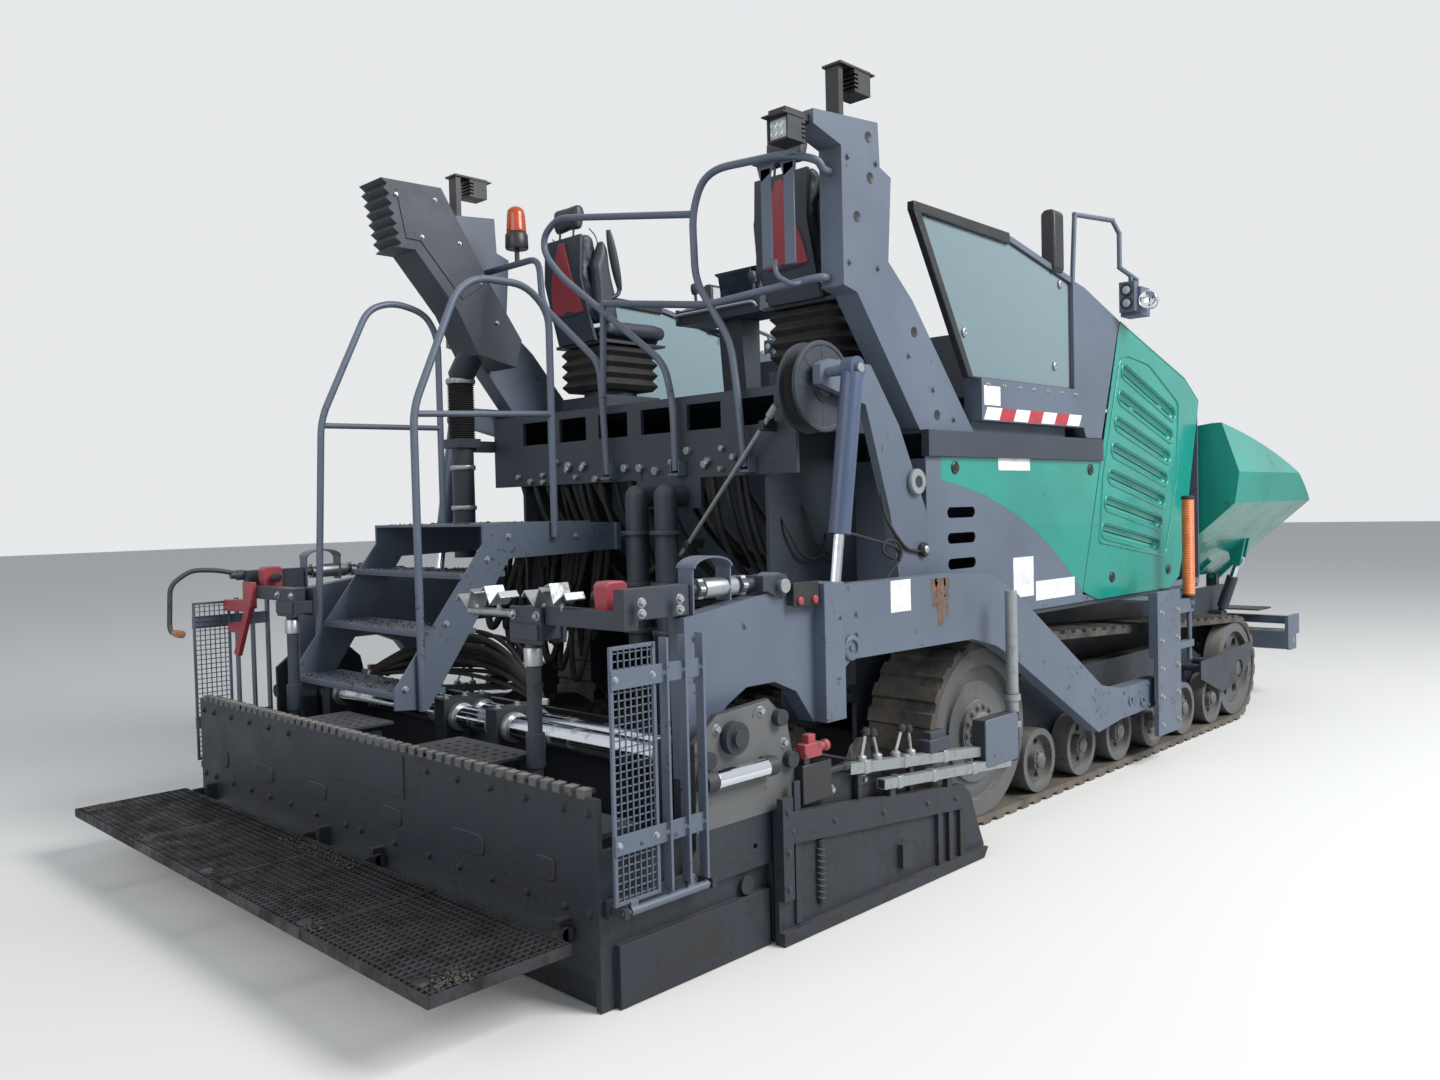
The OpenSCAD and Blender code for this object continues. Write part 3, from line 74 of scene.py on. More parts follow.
def add(owner, kind, inputs=None, **settings):
    """Adds one node to a material or world. A value goes to the setting of its name, or else to the socket of
    its name or number, where a node or socket is linked and anything else is set."""
    node = owner.node_tree.nodes.new("ShaderNode" + kind)
    for key, value in settings.items():
        if hasattr(node, key):
            setattr(node, key, value)
    sockets = dict(enumerate(node.inputs))
    for socket in node.inputs:
        if socket.enabled:
            sockets.setdefault(socket.name.replace(" ", "_"), socket)
    given = {key: value for key, value in settings.items() if not hasattr(node, key)}
    for key, value in {**given, **(inputs or {})}.items():
        if isinstance(value, bpy.types.Node):
            value = value.outputs[0]
        if isinstance(value, bpy.types.NodeSocket):
            owner.node_tree.links.new(value, sockets[key])
        else:
            sockets[key].default_value = value
    return node


def blank(name):
    """A new material whose node tree is empty."""
    material = bpy.data.materials.new(name)
    material.use_nodes = True
    material.node_tree.nodes.clear()
    return material


studio_floor = blank("pale_studio_floor")
matt_floor = add(studio_floor, "BsdfPrincipled", Base_Color=linear("#d8d7d4"), Roughness=0.9)
add(studio_floor, "OutputMaterial", Surface=matt_floor)
reach = 60.0
floor_mesh = bpy.data.meshes.new("floor")
floor_mesh.from_pydata([(-reach, -reach, 0), (reach, -reach, 0), (reach, reach, 0), (-reach, reach, 0)], [],
                       [(0, 1, 2, 3)])
floor_mesh.materials.append(studio_floor)
floor = bpy.data.objects.new("floor", floor_mesh)
bpy.context.scene.collection.objects.link(floor)

sky = bpy.data.worlds.new("studio_sky")
bpy.context.scene.world = sky
sky.use_nodes = True
sky.node_tree.nodes.clear()
light_path = add(sky, "LightPath")
seen = add(sky, "Math", {0: light_path.outputs["Is Camera Ray"], 1: light_path.outputs["Is Glossy Ray"]},
           operation="MAXIMUM")
seen_through = add(sky, "Math", {0: seen, 1: light_path.outputs["Is Transmission Ray"]}, operation="MAXIMUM")
fill_light = add(sky, "Background", Color=linear("#e9f1fb"), Strength=0.5)
backdrop = add(sky, "Background", Color=linear("#eceef0"), Strength=0.95)
sky_mix = add(sky, "MixShader", {0: seen_through, 1: fill_light, 2: backdrop})
add(sky, "OutputWorld", Surface=sky_mix)

for lamp_name, place, target, size, power in (
    ("key", (1.5, -10.0, 9.0), (0.0, 0.0, 1.2), 6.0, 2000.0),
    ("fill", (-10.5, -1.0, 5.0), (-1.0, 0.0, 1.2), 6.0, 260.0),
):
    lamp_data = bpy.data.lights.new(lamp_name, "AREA")
    lamp_data.size = size
    lamp_data.energy = power
    lamp = bpy.data.objects.new(lamp_name, lamp_data)
    bpy.context.scene.collection.objects.link(lamp)
    back = np.array(place) - np.array(target)
    back /= np.linalg.norm(back)
    side = np.cross([0.0, 0.0, 1.0], back)
    side /= np.linalg.norm(side)
    turn = np.eye(4)
    turn[:3, :] = np.column_stack([side, np.cross(back, side), back, place])
    lamp.matrix_world = turn.T.tolist()


# Rubber belts: carbon-filled rubber vulcanised round steel cords, with moulded lugs that grit has scuffed
# grey. Pale dust sits in every corner. The hopper's apron is of the same rubber.
def ramp(owner, value, given=(0.0, 1.0), wanted=(0.0, 1.0)):
    """Maps a value in a straight line from the range `given` to the range `wanted`, and no further."""
    return add(owner, "MapRange", Value=value, From_Min=given[0], From_Max=given[1],
               To_Min=wanted[0], To_Max=wanted[1])


def mixed(owner, share, first, second):
    """The first colour where the share is 0 and the second where it is 1."""
    return add(owner, "Mix", {0: share, 6: first, 7: second}, data_type="RGBA").outputs[2]


def dusty_rubber(name, colour, dust_colour, dust, grain_mm):
    """Rubber: a fine noise is the moulded grain, and a broad one, stronger near the ground, is dust."""
    material = blank(name)
    place = add(material, "TexCoord").outputs["Object"]
    height = add(material, "SeparateXYZ", Vector=place).outputs["Z"]
    low = ramp(material, height, (0.0, 0.9), (0.25, 0.0))
    cloud = add(material, "TexNoise", Vector=place, Scale=6.0, Detail=7.0, Roughness=0.65)
    lift = add(material, "Math", {0: cloud, 1: low}, operation="ADD")
    share = ramp(material, lift, (0.38, 0.85), (0.0, dust))
    colours = mixed(material, share, linear(colour), linear(dust_colour))
    grain = add(material, "TexNoise", Vector=place, Scale=1000.0 / grain_mm, Detail=3.0)
    bump = add(material, "Bump", Height=grain, Strength=0.35, Distance=0.001)
    shader = add(material, "BsdfPrincipled", Base_Color=colours, Roughness=0.78, Normal=bump)
    add(material, "OutputMaterial", Surface=shader)
    return material


def dress(material, *names):
    """Gives every slot of the named CAD nodes one material."""
    for name in names:
        slots = nodes[name].data.materials
        if len(slots) == 0:
            slots.append(material)
        for i in range(len(slots)):
            slots[i] = material


belt_rubber = dusty_rubber("vulcanised_belt_rubber", "#191b1e", "#7d7468", 0.62, 4.0)
dress(belt_rubber, "track_left", "track_right", "hopper_apron")


# Painted steel: plates cut and welded, shot-blasted and sprayed. The paint has an orange-peel skin of a few
# millimetres, its edges are rubbed, dust lies on top, and bitumen is spattered low down and round the screed.
def sprayed_steel(name, colour, roughness, bitumen, dust, coat=0.0):
    """Paint whose tone drifts by slow noise. Bitumen is where a product of two noises passes a limit that
    falls towards the ground and the rear. Dust grows with the upward part of the normal, and a bevelled
    normal rounds the edges."""
    material = blank(name)
    place = add(material, "TexCoord").outputs["Object"]
    part = add(material, "SeparateXYZ", Vector=place)
    drift = add(material, "TexNoise", Vector=place, Scale=1.6, Detail=5.0)
    tone = ramp(material, drift, (0.3, 0.7), (0.84, 1.12))
    paint = add(material, "VectorMath", {0: linear(colour)[:3], "Scale": tone}, operation="SCALE")
    low = ramp(material, part.outputs["Z"], (0.15, 1.3), (1.0, 0.0))
    rear = ramp(material, part.outputs["X"], (-1.2, -3.0), (0.0, 0.6))
    soiled = add(material, "Math", {0: low, 1: rear}, operation="MAXIMUM")
    speck = add(material, "TexNoise", Vector=place, Scale=40.0, Detail=6.0, Roughness=0.7)
    blotch = add(material, "TexNoise", Vector=place, Scale=5.0, Detail=6.0, Roughness=0.6)
    both_noises = add(material, "Math", {0: speck, 1: blotch}, operation="MULTIPLY")
    limit = add(material, "Math", {0: soiled, 1: -0.16 * bitumen, 2: 0.40}, operation="MULTIPLY_ADD")
    past = add(material, "Math", {0: both_noises, 1: limit}, operation="SUBTRACT")
    tar = ramp(material, past, (0.0, 0.05))
    tarred = mixed(material, tar, paint, linear("#17181a"))
    facing = add(material, "NewGeometry").outputs["Normal"]
    upward = add(material, "SeparateXYZ", Vector=facing).outputs["Z"]
    lying = ramp(material, upward, (0.2, 0.95), (0.12 * dust, dust))
    patch = ramp(material, blotch, (0.35, 0.65), (0.4, 1.0))
    amount = add(material, "Math", {0: lying, 1: patch}, operation="MULTIPLY")
    dusty = mixed(material, amount, tarred, linear("#a0978b"))
    matt = ramp(material, blotch, (0.3, 0.7), (roughness - 0.06, roughness + 0.12))
    soft_edge = add(material, "Bevel", samples=4, Radius=0.004)
    peel = add(material, "TexNoise", Vector=place, Scale=250.0, Detail=2.0)
    skin = add(material, "Bump", Height=peel, Normal=soft_edge, Strength=0.05, Distance=0.002)
    tar_relief = add(material, "Bump", Height=tar, Normal=skin, Strength=0.3, Distance=0.0015)
    shader = add(material, "BsdfPrincipled", Base_Color=dusty, Roughness=matt, Normal=tar_relief,
                 Coat_Weight=coat)
    add(material, "OutputMaterial", Surface=shader)
    return material


slate_paint = sprayed_steel("slate_grey_sprayed_steel", "#515c6c", 0.45, 0.5, 0.2)
charcoal_paint = sprayed_steel("charcoal_sprayed_steel", "#272f3b", 0.5, 0.7, 0.18)
tarry_paint = sprayed_steel("charcoal_paint_caked_with_bitumen", "#1a222d", 0.55, 1.0, 0.14)
green_enamel = sprayed_steel("green_baked_enamel", "#0f8174", 0.24, 0.1, 0.06, coat=0.25)
# A darker copy of the slate grey paint: painted shade for the platform, whose rear faces lie in shadow.
painted_shade_grey = sprayed_steel("shaded_grey_sprayed_steel", "#28313d", 0.5, 0.6, 0.2)
barrel_paint = sprayed_steel("blue_grey_cylinder_paint", "#3d4b66", 0.35, 0.2, 0.1)
wheel_paint = sprayed_steel("dusty_wheel_paint", "#4e5154", 0.62, 0.5, 0.7)
dress(slate_paint, "hood_shell", "side_screens", "towers", "handrails", "stairs", "tow_guides", "tow_arms",
      "push_beam", "guard_left", "guard_right")
# The platform takes the darker copy of the slate grey paint, as painted shade.
dress(painted_shade_grey, "platform")
dress(barrel_paint, "lift_barrel_left", "lift_barrel_right")
dress(wheel_paint, "wheels_left", "wheels_right")
dress(charcoal_paint, "engine", "screed_fittings", "chassis", "track_frames", "fume_duct", "console",
      "hose_reel", "wing_barrel_left", "wing_barrel_right")
dress(tarry_paint, "screed_frame", "extension_left", "extension_right")
dress(green_enamel, "side_panels", "hood_lid", "hopper_left", "hopper_right")


# Bare metals: rods are ground and hard-chromed, small fittings are zinc plated, the slats, augers and grating
# are mild steel that hot asphalt has blackened and polished by turns.
def bare_metal(name, colour, stain_colour, stain, roughness, metallic=1.0, scale=9.0, relief=0.1):
    """Metal with a stain where broken noise passes its middle. The stain is dull, and fine pits cover all."""
    material = blank(name)
    place = add(material, "TexCoord").outputs["Object"]
    cloud = add(material, "TexNoise", Vector=place, Scale=scale, Detail=8.0, Roughness=0.68)
    share = ramp(material, cloud, (0.55 - 0.25 * stain, 0.75 - 0.2 * stain))
    colours = mixed(material, share, linear(colour), linear(stain_colour))
    bare = ramp(material, share, wanted=(metallic, metallic * 0.25))
    matt = ramp(material, share, wanted=(roughness, min(roughness + 0.4, 0.9)))
    soft_edge = add(material, "Bevel", samples=4, Radius=0.003)
    pits = add(material, "TexNoise", Vector=place, Scale=160.0, Detail=4.0)
    bump = add(material, "Bump", Height=pits, Normal=soft_edge, Strength=relief, Distance=0.002)
    shader = add(material, "BsdfPrincipled", Base_Color=colours, Metallic=bare, Roughness=matt, Normal=bump)
    add(material, "OutputMaterial", Surface=shader)
    return material


hard_chrome = bare_metal("hard_chromed_rod", "#d3d8de", "#5d5a55", 0.05, 0.12)
zinc_plate = bare_metal("zinc_plated_steel", "#9da2a5", "#77756f", 0.12, 0.4, metallic=0.85, scale=16.0)
hot_steel = bare_metal("steel_blackened_by_asphalt", "#6b655d", "#1b1a19", 0.85, 0.42, metallic=0.8,
                       relief=0.5)
grating_steel = bare_metal("oiled_grating_steel", "#3b3d40", "#141415", 0.7, 0.5, metallic=0.5, relief=0.3)
dress(hard_chrome, "wing_rod_left", "wing_rod_right", "lift_rod_left", "lift_rod_right")
dress(zinc_plate, "push_rollers")
dress(hot_steel, "auger_left", "auger_right", "conveyor")
dress(grating_steel, "walkway")


# Moulded black plastic: glass-filled nylon and polypropylene with a spark-eroded grain of about 1 mm, used
# for lamp housings, levers, caps and the display.
def moulded_plastic(name, colour, roughness, grain_mm=1.2):
    """Moulded plastic: one colour, a fine noise as the tool's grain and a broad one as handling marks."""
    material = blank(name)
    place = add(material, "TexCoord").outputs["Object"]
    handled = add(material, "TexNoise", Vector=place, Scale=12.0, Detail=5.0)
    matt = ramp(material, handled, (0.3, 0.7), (roughness - 0.08, roughness + 0.1))
    faded = ramp(material, handled, (0.3, 0.7), (0.85, 1.2))
    colours = add(material, "VectorMath", {0: linear(colour)[:3], "Scale": faded}, operation="SCALE")
    grain = add(material, "TexNoise", Vector=place, Scale=1000.0 / grain_mm, Detail=2.0)
    bump = add(material, "Bump", Height=grain, Strength=0.12, Distance=0.0005)
    shader = add(material, "BsdfPrincipled", Base_Color=colours, Roughness=matt, Normal=bump)
    add(material, "OutputMaterial", Surface=shader)
    return material


black_plastic = moulded_plastic("black_moulded_nylon", "#1c1e21", 0.42)
seat_vinyl = moulded_plastic("black_seat_vinyl", "#272c36", 0.5, grain_mm=2.0)
dress(black_plastic, "work_lamps")
dress(seat_vinyl, "seat_left", "seat_right")


# Window glass: flat toughened panes, faintly blue, with a thin film of dust in clouds. The glass mirrors the
# share of light that its refraction asks for, and the rest goes straight through.
pane_glass = blank("toughened_window_glass")
pane_place = add(pane_glass, "TexCoord").outputs["Object"]
film = add(pane_glass, "TexNoise", Vector=pane_place, Scale=5.0, Detail=6.0)
dim = ramp(pane_glass, film, (0.35, 0.75), (0.0, 0.05))
clear = add(pane_glass, "BsdfTransparent", Color=linear("#f5f8f9"))
gloss = add(pane_glass, "BsdfPrincipled", Base_Color=linear("#9fb0b5"), Roughness=0.04)
shine = add(pane_glass, "Fresnel", IOR=1.5)
veil = add(pane_glass, "Math", {0: shine, 1: dim}, operation="ADD")
pane = add(pane_glass, "MixShader", {0: veil, 1: clear, 2: gloss})
add(pane_glass, "OutputMaterial", Surface=pane)
dress(pane_glass, "screen_glass")


# Wheel ends: each road wheel and idler turns on a greased hub behind a pressed cap, held by a ring of hexagon
# screws. The drive sprocket has a wider bolted flange. All is cast and machined steel.
def metres(points):
    """Points of the drawing, in millimetres from the drive wheel's axle, as metres in the shared frame."""
    return np.asarray(points, dtype=float) / 1000.0 + [axle_x, 0.0, 0.0]


def joined(*shapes):
    """Several shapes as one. A shape is a pair: points in metres, and faces as lists of point numbers, which
    move up by the count of the points before them."""
    points = []
    faces = []
    count = 0
    for shape_points, shape_faces in shapes:
        points.append(shape_points)
        faces += [tuple(index + count for index in face) for face in shape_faces]
        count += len(shape_points)
    return np.vstack(points), faces


def mirrored(*shapes):
    """The shapes on the other side: y changes its sign, and each face is turned round to look out again."""
    points, faces = joined(*shapes)
    return points * [1.0, -1.0, 1.0], [tuple(reversed(face)) for face in faces]


def both(*shapes):
    """The shapes and their mirror image."""
    return joined(*shapes, mirrored(*shapes))


def rings(grid, ends=(True, True), loop=False):
    """Skins a grid of rings in mm, shaped (ring, point, 3), with quads, and closes its first and last ring
    with a face. With loop, the last ring joins the first instead."""
    count, sides = grid.shape[:2]
    faces = []
    for i in range(count if loop else count - 1):
        here, there = i * sides, (i + 1) % count * sides
        for j in range(sides):
            k = (j + 1) % sides
            faces.append((here + j, here + k, there + k, there + j))
    if ends[0]:
        faces.append(tuple(reversed(range(sides))))
    if ends[1]:
        faces.append(tuple(range((count - 1) * sides, count * sides)))
    return metres(grid.reshape(-1, 3)), faces


def lathe(profile, at, way, sides=24):
    """Turns a profile of (distance along the axis, radius) in mm round the axis through `at` along `way`."""
    profile = np.asarray(profile, dtype=float)
    way = np.asarray(way, dtype=float) / np.linalg.norm(way)
    across = np.cross(way, [0.0, 0.0, 1.0] if abs(way[2]) < 0.9 else [1.0, 0.0, 0.0])
    across /= np.linalg.norm(across)
    other = np.cross(way, across)
    angles = np.linspace(0, 2 * np.pi, sides, endpoint=False)
    spokes = np.cos(angles)[:, None] * across + np.sin(angles)[:, None] * other
    grid = np.asarray(at, dtype=float) + profile[:, 0, None, None] * way + profile[:, 1, None, None] * spokes
    return rings(grid)


def bolts(places, way, across=24.0, height=None):
    """Hexagon heads `across` the flats on washers, at each place in mm, standing along `way`."""
    height = height or across * 0.62
    washer = [(0, across * 0.86), (across * 0.12, across * 0.86), (across * 0.12, across * 0.5)]
    parts = []
    for at in places:
        parts.append(lathe(washer, at, way, sides=16))
        foot = across * 0.12
        head = [(foot, across * 0.577), (foot + height * 0.8, across * 0.577), (foot + height, across * 0.5)]
        parts.append(lathe(head, at, way, sides=6))
    return joined(*parts)


def piece(name, body, material, *shapes, bevel=0.0, smooth=40.0):
    """One object of the scene from some shapes, riding on a body. Edges sharper than `smooth` degrees stay
    sharp, and a bevel in mm takes off the corners."""
    points, faces = joined(*shapes)
    mesh = bpy.data.meshes.new(name)
    mesh.from_pydata(points.tolist(), [], faces)
    mesh.materials.append(material)
    mesh.shade_smooth()
    mesh.set_sharp_from_angle(angle=math.radians(smooth))
    thing = bpy.data.objects.new(name, mesh)
    bpy.context.scene.collection.objects.link(thing)
    if bevel:
        edge = thing.modifiers.new("edge", "BEVEL")
        edge.width = bevel / 1000.0
        edge.segments = 2
        edge.limit_method = "ANGLE"
        edge.angle_limit = math.radians(40.0)
    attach(thing, body)
    return thing


def ring_of(count, radius, x, y, z):
    """Places evenly round an axle that runs along Y, in mm."""
    turn = np.arange(count) * 2 * np.pi / count
    return np.column_stack([x + radius * np.cos(turn), np.full(count, y), z + radius * np.sin(turn)])


axle_x = -0.770
outward, inward = (0.0, 1.0, 0.0), (0.0, -1.0, 0.0)
fore, aft, skyward = (1.0, 0.0, 0.0), (-1.0, 0.0, 0.0), (0.0, 0.0, 1.0)
road_hubs = [(560 + 460 * i, 1340, 210) for i in range(6)]
idler_hub = (3270, 1340, 360)
drive_hub = (0, 1338, 446)
road_cap = [(-4, 40), (9, 40), (15, 33), (20, 14), (20, 0.5)]
idler_cap = [(-4, 66), (12, 64), (20, 52), (24, 20), (24, 0.5)]
drive_cap = [(-4, 96), (14, 94), (24, 80), (26, 60), (16, 56), (16, 0.5)]
hub_parts = [lathe(road_cap, hub, outward) for hub in road_hubs]
hub_parts += [bolts(ring_of(6, 47, *hub), outward, across=11, height=6) for hub in road_hubs]
hub_parts += [lathe(idler_cap, idler_hub, outward), bolts(ring_of(8, 87, *idler_hub), outward, across=19)]
hub_parts += [lathe(drive_cap, drive_hub, outward, sides=32),
              bolts(ring_of(14, 122, *drive_hub), outward, across=22)]
piece("wheel_hub_caps", "tractor", wheel_paint, both(*hub_parts))


# Tow arms: cut from thick plate and sprayed slate grey. On their outer faces are the pivot's cap, a pin in a
# raised ring, threaded bosses for the levelling gear, and a small dark terminal box on the upper edge.
def slab(outline, axis, start, end, taper=0.0):
    """Raises an outline along one axis, 0, 1 or 2, from `start` to `end` in mm. The outline's two numbers are
    the other two coordinates in their order. A taper draws in the far face by that share."""
    outline = np.asarray(outline, dtype=float)
    x, y = outline[:, 0], outline[:, 1]
    area = np.sum(x * np.roll(y, -1) - np.roll(x, -1) * y)
    if (area < 0) == (axis != 1):
        outline = outline[::-1]
    if end < start:
        outline = outline[::-1]
    middle = outline.mean(axis=0)
    near = np.insert(outline, axis, start, axis=1)
    far = np.insert(middle + (outline - middle) * (1 - taper), axis, end, axis=1)
    return rings(np.array([near, far]))


def box(low, high):
    """A block between two corners in mm. It is only ever one part of a piece."""
    return slab([(low[0], low[1]), (high[0], low[1]), (high[0], high[1]), (low[0], high[1])], 2, low[2],
                high[2])


hose_rubber = dusty_rubber("covered_hydraulic_hose", "#141518", "#5f5a54", 0.3, 2.0)
red_paint = sprayed_steel("red_sprayed_steel", "#93343f", 0.4, 0.3, 0.2)
arm_face = 1460
arm_pin = [(-3, 50), (9, 50), (12, 46), (12, 32), (3, 30), (3, 12), (10, 11), (10, 0.5)]
pivot_cap = [(-3, 44), (12, 42), (18, 30), (18, 0.5)]
boss = [(-3, 27), (7, 27), (8, 18), (1, 17), (1, 0.5)]
arm_parts = [lathe(arm_pin, (-1144, arm_face, 976), outward),
             lathe(pivot_cap, (1750, arm_face, 420), outward)]
for x, z in ((1365, 415), (1515, 392), (-1570, 1250)):
    arm_parts.append(lathe(boss, (x, arm_face, z), outward, sides=18))
arm_places = [(-1102, 1106), (-1212, 1026), (-1101, 1027), (-1210, 1102), (-2000, 1100), (-2000, 960),
              (-1750, 1120), (1290, 470), (1600, 480), (1600, 360)]
arm_parts.append(bolts([(x, arm_face - 1, z) for x, z in arm_places], outward, across=17, height=7))
piece("tow_arm_bosses", "screed", slate_paint, both(*arm_parts))
box_lid = arm_face + 38
terminal_box = [box((-1520, arm_face - 1, 1172), (-1385, box_lid - 6, 1252)),
                box((-1526, box_lid - 8, 1166), (-1379, box_lid, 1258))]
piece("tow_arm_terminal_box", "screed", hose_rubber, both(*terminal_box), bevel=4)
red_cap = [(0, 15), (10, 15), (13, 9), (13, 0.5)]
red_caps = [lathe(red_cap, (x, box_lid, 1190), outward, sides=16) for x in (-1495, -1410)]
piece("terminal_box_caps", "screed", red_paint, both(*red_caps))


# Rust run: hot mix has burnt the paint off the right arm's upper edge, and rust has run down from there. It
# is a thin film of three ragged streaks, crusted and dull.
rust = blank("run_of_rust_on_worn_paint")
rust_place = add(rust, "TexCoord").outputs["Object"]
rust_cloud = add(rust, "TexNoise", Vector=rust_place, Scale=26.0, Detail=7.0, Roughness=0.7)
rust_share = ramp(rust, rust_cloud, (0.38, 0.62))
rust_colour = mixed(rust, rust_share, linear("#4b423d"), linear("#6f5243"))
rust_bump = add(rust, "Bump", Height=rust_cloud, Strength=0.5, Distance=0.002)
rust_skin = add(rust, "BsdfPrincipled", Base_Color=rust_colour, Roughness=0.85, Normal=rust_bump)
add(rust, "OutputMaterial", Surface=rust_skin)
rust_random = np.random.default_rng(7)
runs = []
for middle, half, top, low in ((-505, 40, 1212, 1004), (-455, 26, 1209, 1040), (-552, 26, 1211, 1090)):
    levels = np.linspace(top, low, 14)
    width = half * (1 - 0.35 * np.linspace(0, 1, 14)) * rust_random.uniform(0.65, 1.15, 14)
    left_side = np.column_stack([middle - width, levels])
    right_side = np.column_stack([middle + width * rust_random.uniform(0.7, 1.1, 14), levels])
    runs.append(slab(np.vstack([left_side, right_side[::-1]]), 1, arm_face - 0.8, arm_face + 0.7))
piece("arm_rust_run", "screed", rust, mirrored(*runs))


# Tow guides: rolled columns that the arm's front end slides in, with bolted cheeks, and beside each an
# upright sensor mast whose sleeve is a ribbed orange moulding between black caps.
orange_plastic = moulded_plastic("orange_ribbed_polyurethane", "#d2743f", 0.4)
guide_bolts = [(x, 1514, z) for x in (1660, 1880) for z in (240, 400, 560, 720, 880)]
piece("tow_guide_bolts", "tractor", zinc_plate, both(bolts(guide_bolts, outward, across=22)))
ribs = [(15 + 10 * i + 5 * k, 34.0 + 2.6 * (k % 2)) for i in range(57) for k in (0, 1)]
mast_at = (2145, 1480)
sleeve = lathe([(0, 30)] + ribs + [(586, 34), (586, 30)], (*mast_at, 940), skyward, sides=20)
piece("mast_sleeve", "tractor", orange_plastic, both(sleeve))
mast_caps = [([(0, 33), (0, 40), (22, 40), (24, 33)], 924),
             ([(0, 33), (0, 39), (14, 39), (22, 30), (22, 0.5)], 1522),
             ([(0, 20), (0, 26), (60, 26), (66, 16)], 868)]
mast_cap_shapes = [lathe(profile, (*mast_at, z), skyward) for profile, z in mast_caps]
piece("mast_caps", "tractor", black_plastic, both(*mast_cap_shapes))


# Side panels: deep-drawn steel doors with seven long pressed troughs that let the cooling air in. Each trough
# is a smooth pan behind its opening, enamelled green with the panel.
def rounded(points, bend, steps=6):
    """Rounds each corner Q of a line with (1-t)^2 P + 2t(1-t) Q + t^2 R, P and R up to `bend` mm from Q."""
    points = np.asarray(points, dtype=float)
    line = [points[0]]
    for before, corner, after in zip(points[:-2], points[1:-1], points[2:]):
        back, ahead = before - corner, after - corner
        reach_back = min(bend, 0.45 * np.linalg.norm(back))
        reach_ahead = min(bend, 0.45 * np.linalg.norm(ahead))
        start = corner + back / np.linalg.norm(back) * reach_back
        end = corner + ahead / np.linalg.norm(ahead) * reach_ahead
        for t in np.linspace(0.0, 1.0, steps):
            line.append((1 - t) ** 2 * start + 2 * t * (1 - t) * corner + t * t * end)
    line.append(points[-1])
    return np.array(line)


def tube(points, radius, bend=0.0, sides=12):
    """A ring r(cos a u + sin a v) round each point of a line in mm, u and v carried along without twist. The
    radius is one number or one for each point of an unrounded line."""
    line = rounded(points, bend) if bend else np.asarray(points, dtype=float)
    radii = np.broadcast_to(np.asarray(radius, dtype=float), (len(line),))
    along = np.gradient(line, axis=0)
    along /= np.linalg.norm(along, axis=1)[:, None]
    across = np.cross(along[0], [0.0, 0.0, 1.0] if abs(along[0][2]) < 0.9 else [1.0, 0.0, 0.0])
    angles = np.linspace(0, 2 * np.pi, sides, endpoint=False)
    grid = []
    for at, way, size in zip(line, along, radii):
        across = across - way * np.dot(across, way)
        across /= np.linalg.norm(across)
        other = np.cross(way, across)
        grid.append(at + size * (np.cos(angles)[:, None] * across + np.sin(angles)[:, None] * other))
    return rings(np.array(grid))


def trough(x, z, angle, length):
    """Rings of one stadium outline at other sizes and depths, so that the pan's wall curves inwards."""
    along = np.array([math.cos(angle), 0.0, -math.sin(angle)])
    across = np.array([math.sin(angle), 0.0, math.cos(angle)])
    turn = np.concatenate([np.linspace(np.pi / 2, -np.pi / 2, 12),
                           np.linspace(-np.pi / 2, -3 * np.pi / 2, 12)])
    end = np.concatenate([np.full(12, length), np.zeros(12)])
    wall = [(32.6, 1), (31, 9), (27, 17), (18, 23), (3, 25), (3, 28), (20, 27), (32, 21), (37, 9), (37, 6.6)]
    grid = []
    for size, depth in wall:
        ring = np.array([x, side_face - depth, z]) + (end + size * np.cos(turn))[:, None] * along
        grid.append(ring + (size * np.sin(turn))[:, None] * across)
    return rings(np.array(grid), ends=(False, False), loop=True)


side_face = 1300
louvre_length = 700.0
louvres = [(1420 + 48 * i, 1360 + 152 * i, math.radians(9 + 1.5 * i)) for i in range(7)]
louvre_pans = [trough(x, z, angle, louvre_length) for x, z, angle in louvres]
right_end, left_end = np.linspace(np.pi / 2, -np.pi / 2, 10), np.linspace(-np.pi / 2, -3 * np.pi / 2, 10)
lip_turn = np.concatenate([right_end, left_end, [np.pi / 2]])
lip_along = 46 * np.cos(lip_turn) + louvre_length * np.concatenate([np.ones(10), np.zeros(10), [1.0]])
lip_across = 46 * np.sin(lip_turn)
louvre_lips = []
for x, z, angle in louvres:
    lip_x = x + lip_along * math.cos(angle) + lip_across * math.sin(angle)
    lip_z = z - lip_along * math.sin(angle) + lip_across * math.cos(angle)
    louvre_lips.append(tube(np.column_stack([lip_x, np.full(21, side_face - 1.0), lip_z]), 8, sides=8))
field_edge = [(1352, 1296), (1400, 1640), (1640, 2336), (1720, 2372), (2030, 2340), (2470, 2130),
              (2420, 1640), (2236, 1176), (1352, 1296)]
louvre_lips.append(tube([(x, side_face - 1, z) for x, z in field_edge], 9, bend=50, sides=8))
piece("louvre_troughs", "tractor", green_enamel, both(*louvre_pans))
piece("louvre_lips", "tractor", green_enamel, both(*louvre_lips), smooth=70)
latch = [(-2, 30), (5, 30), (8, 26), (6, 12), (9, 11), (9, 0.5)]
latch_places = [(1500, 1090), (2280, 1090), (-120, 1700), (1250, 1700)]
latches = [lathe(latch, (x, side_face, z), outward, sides=20) for x, z in latch_places]
piece("panel_latches", "tractor", black_plastic, both(*latches))


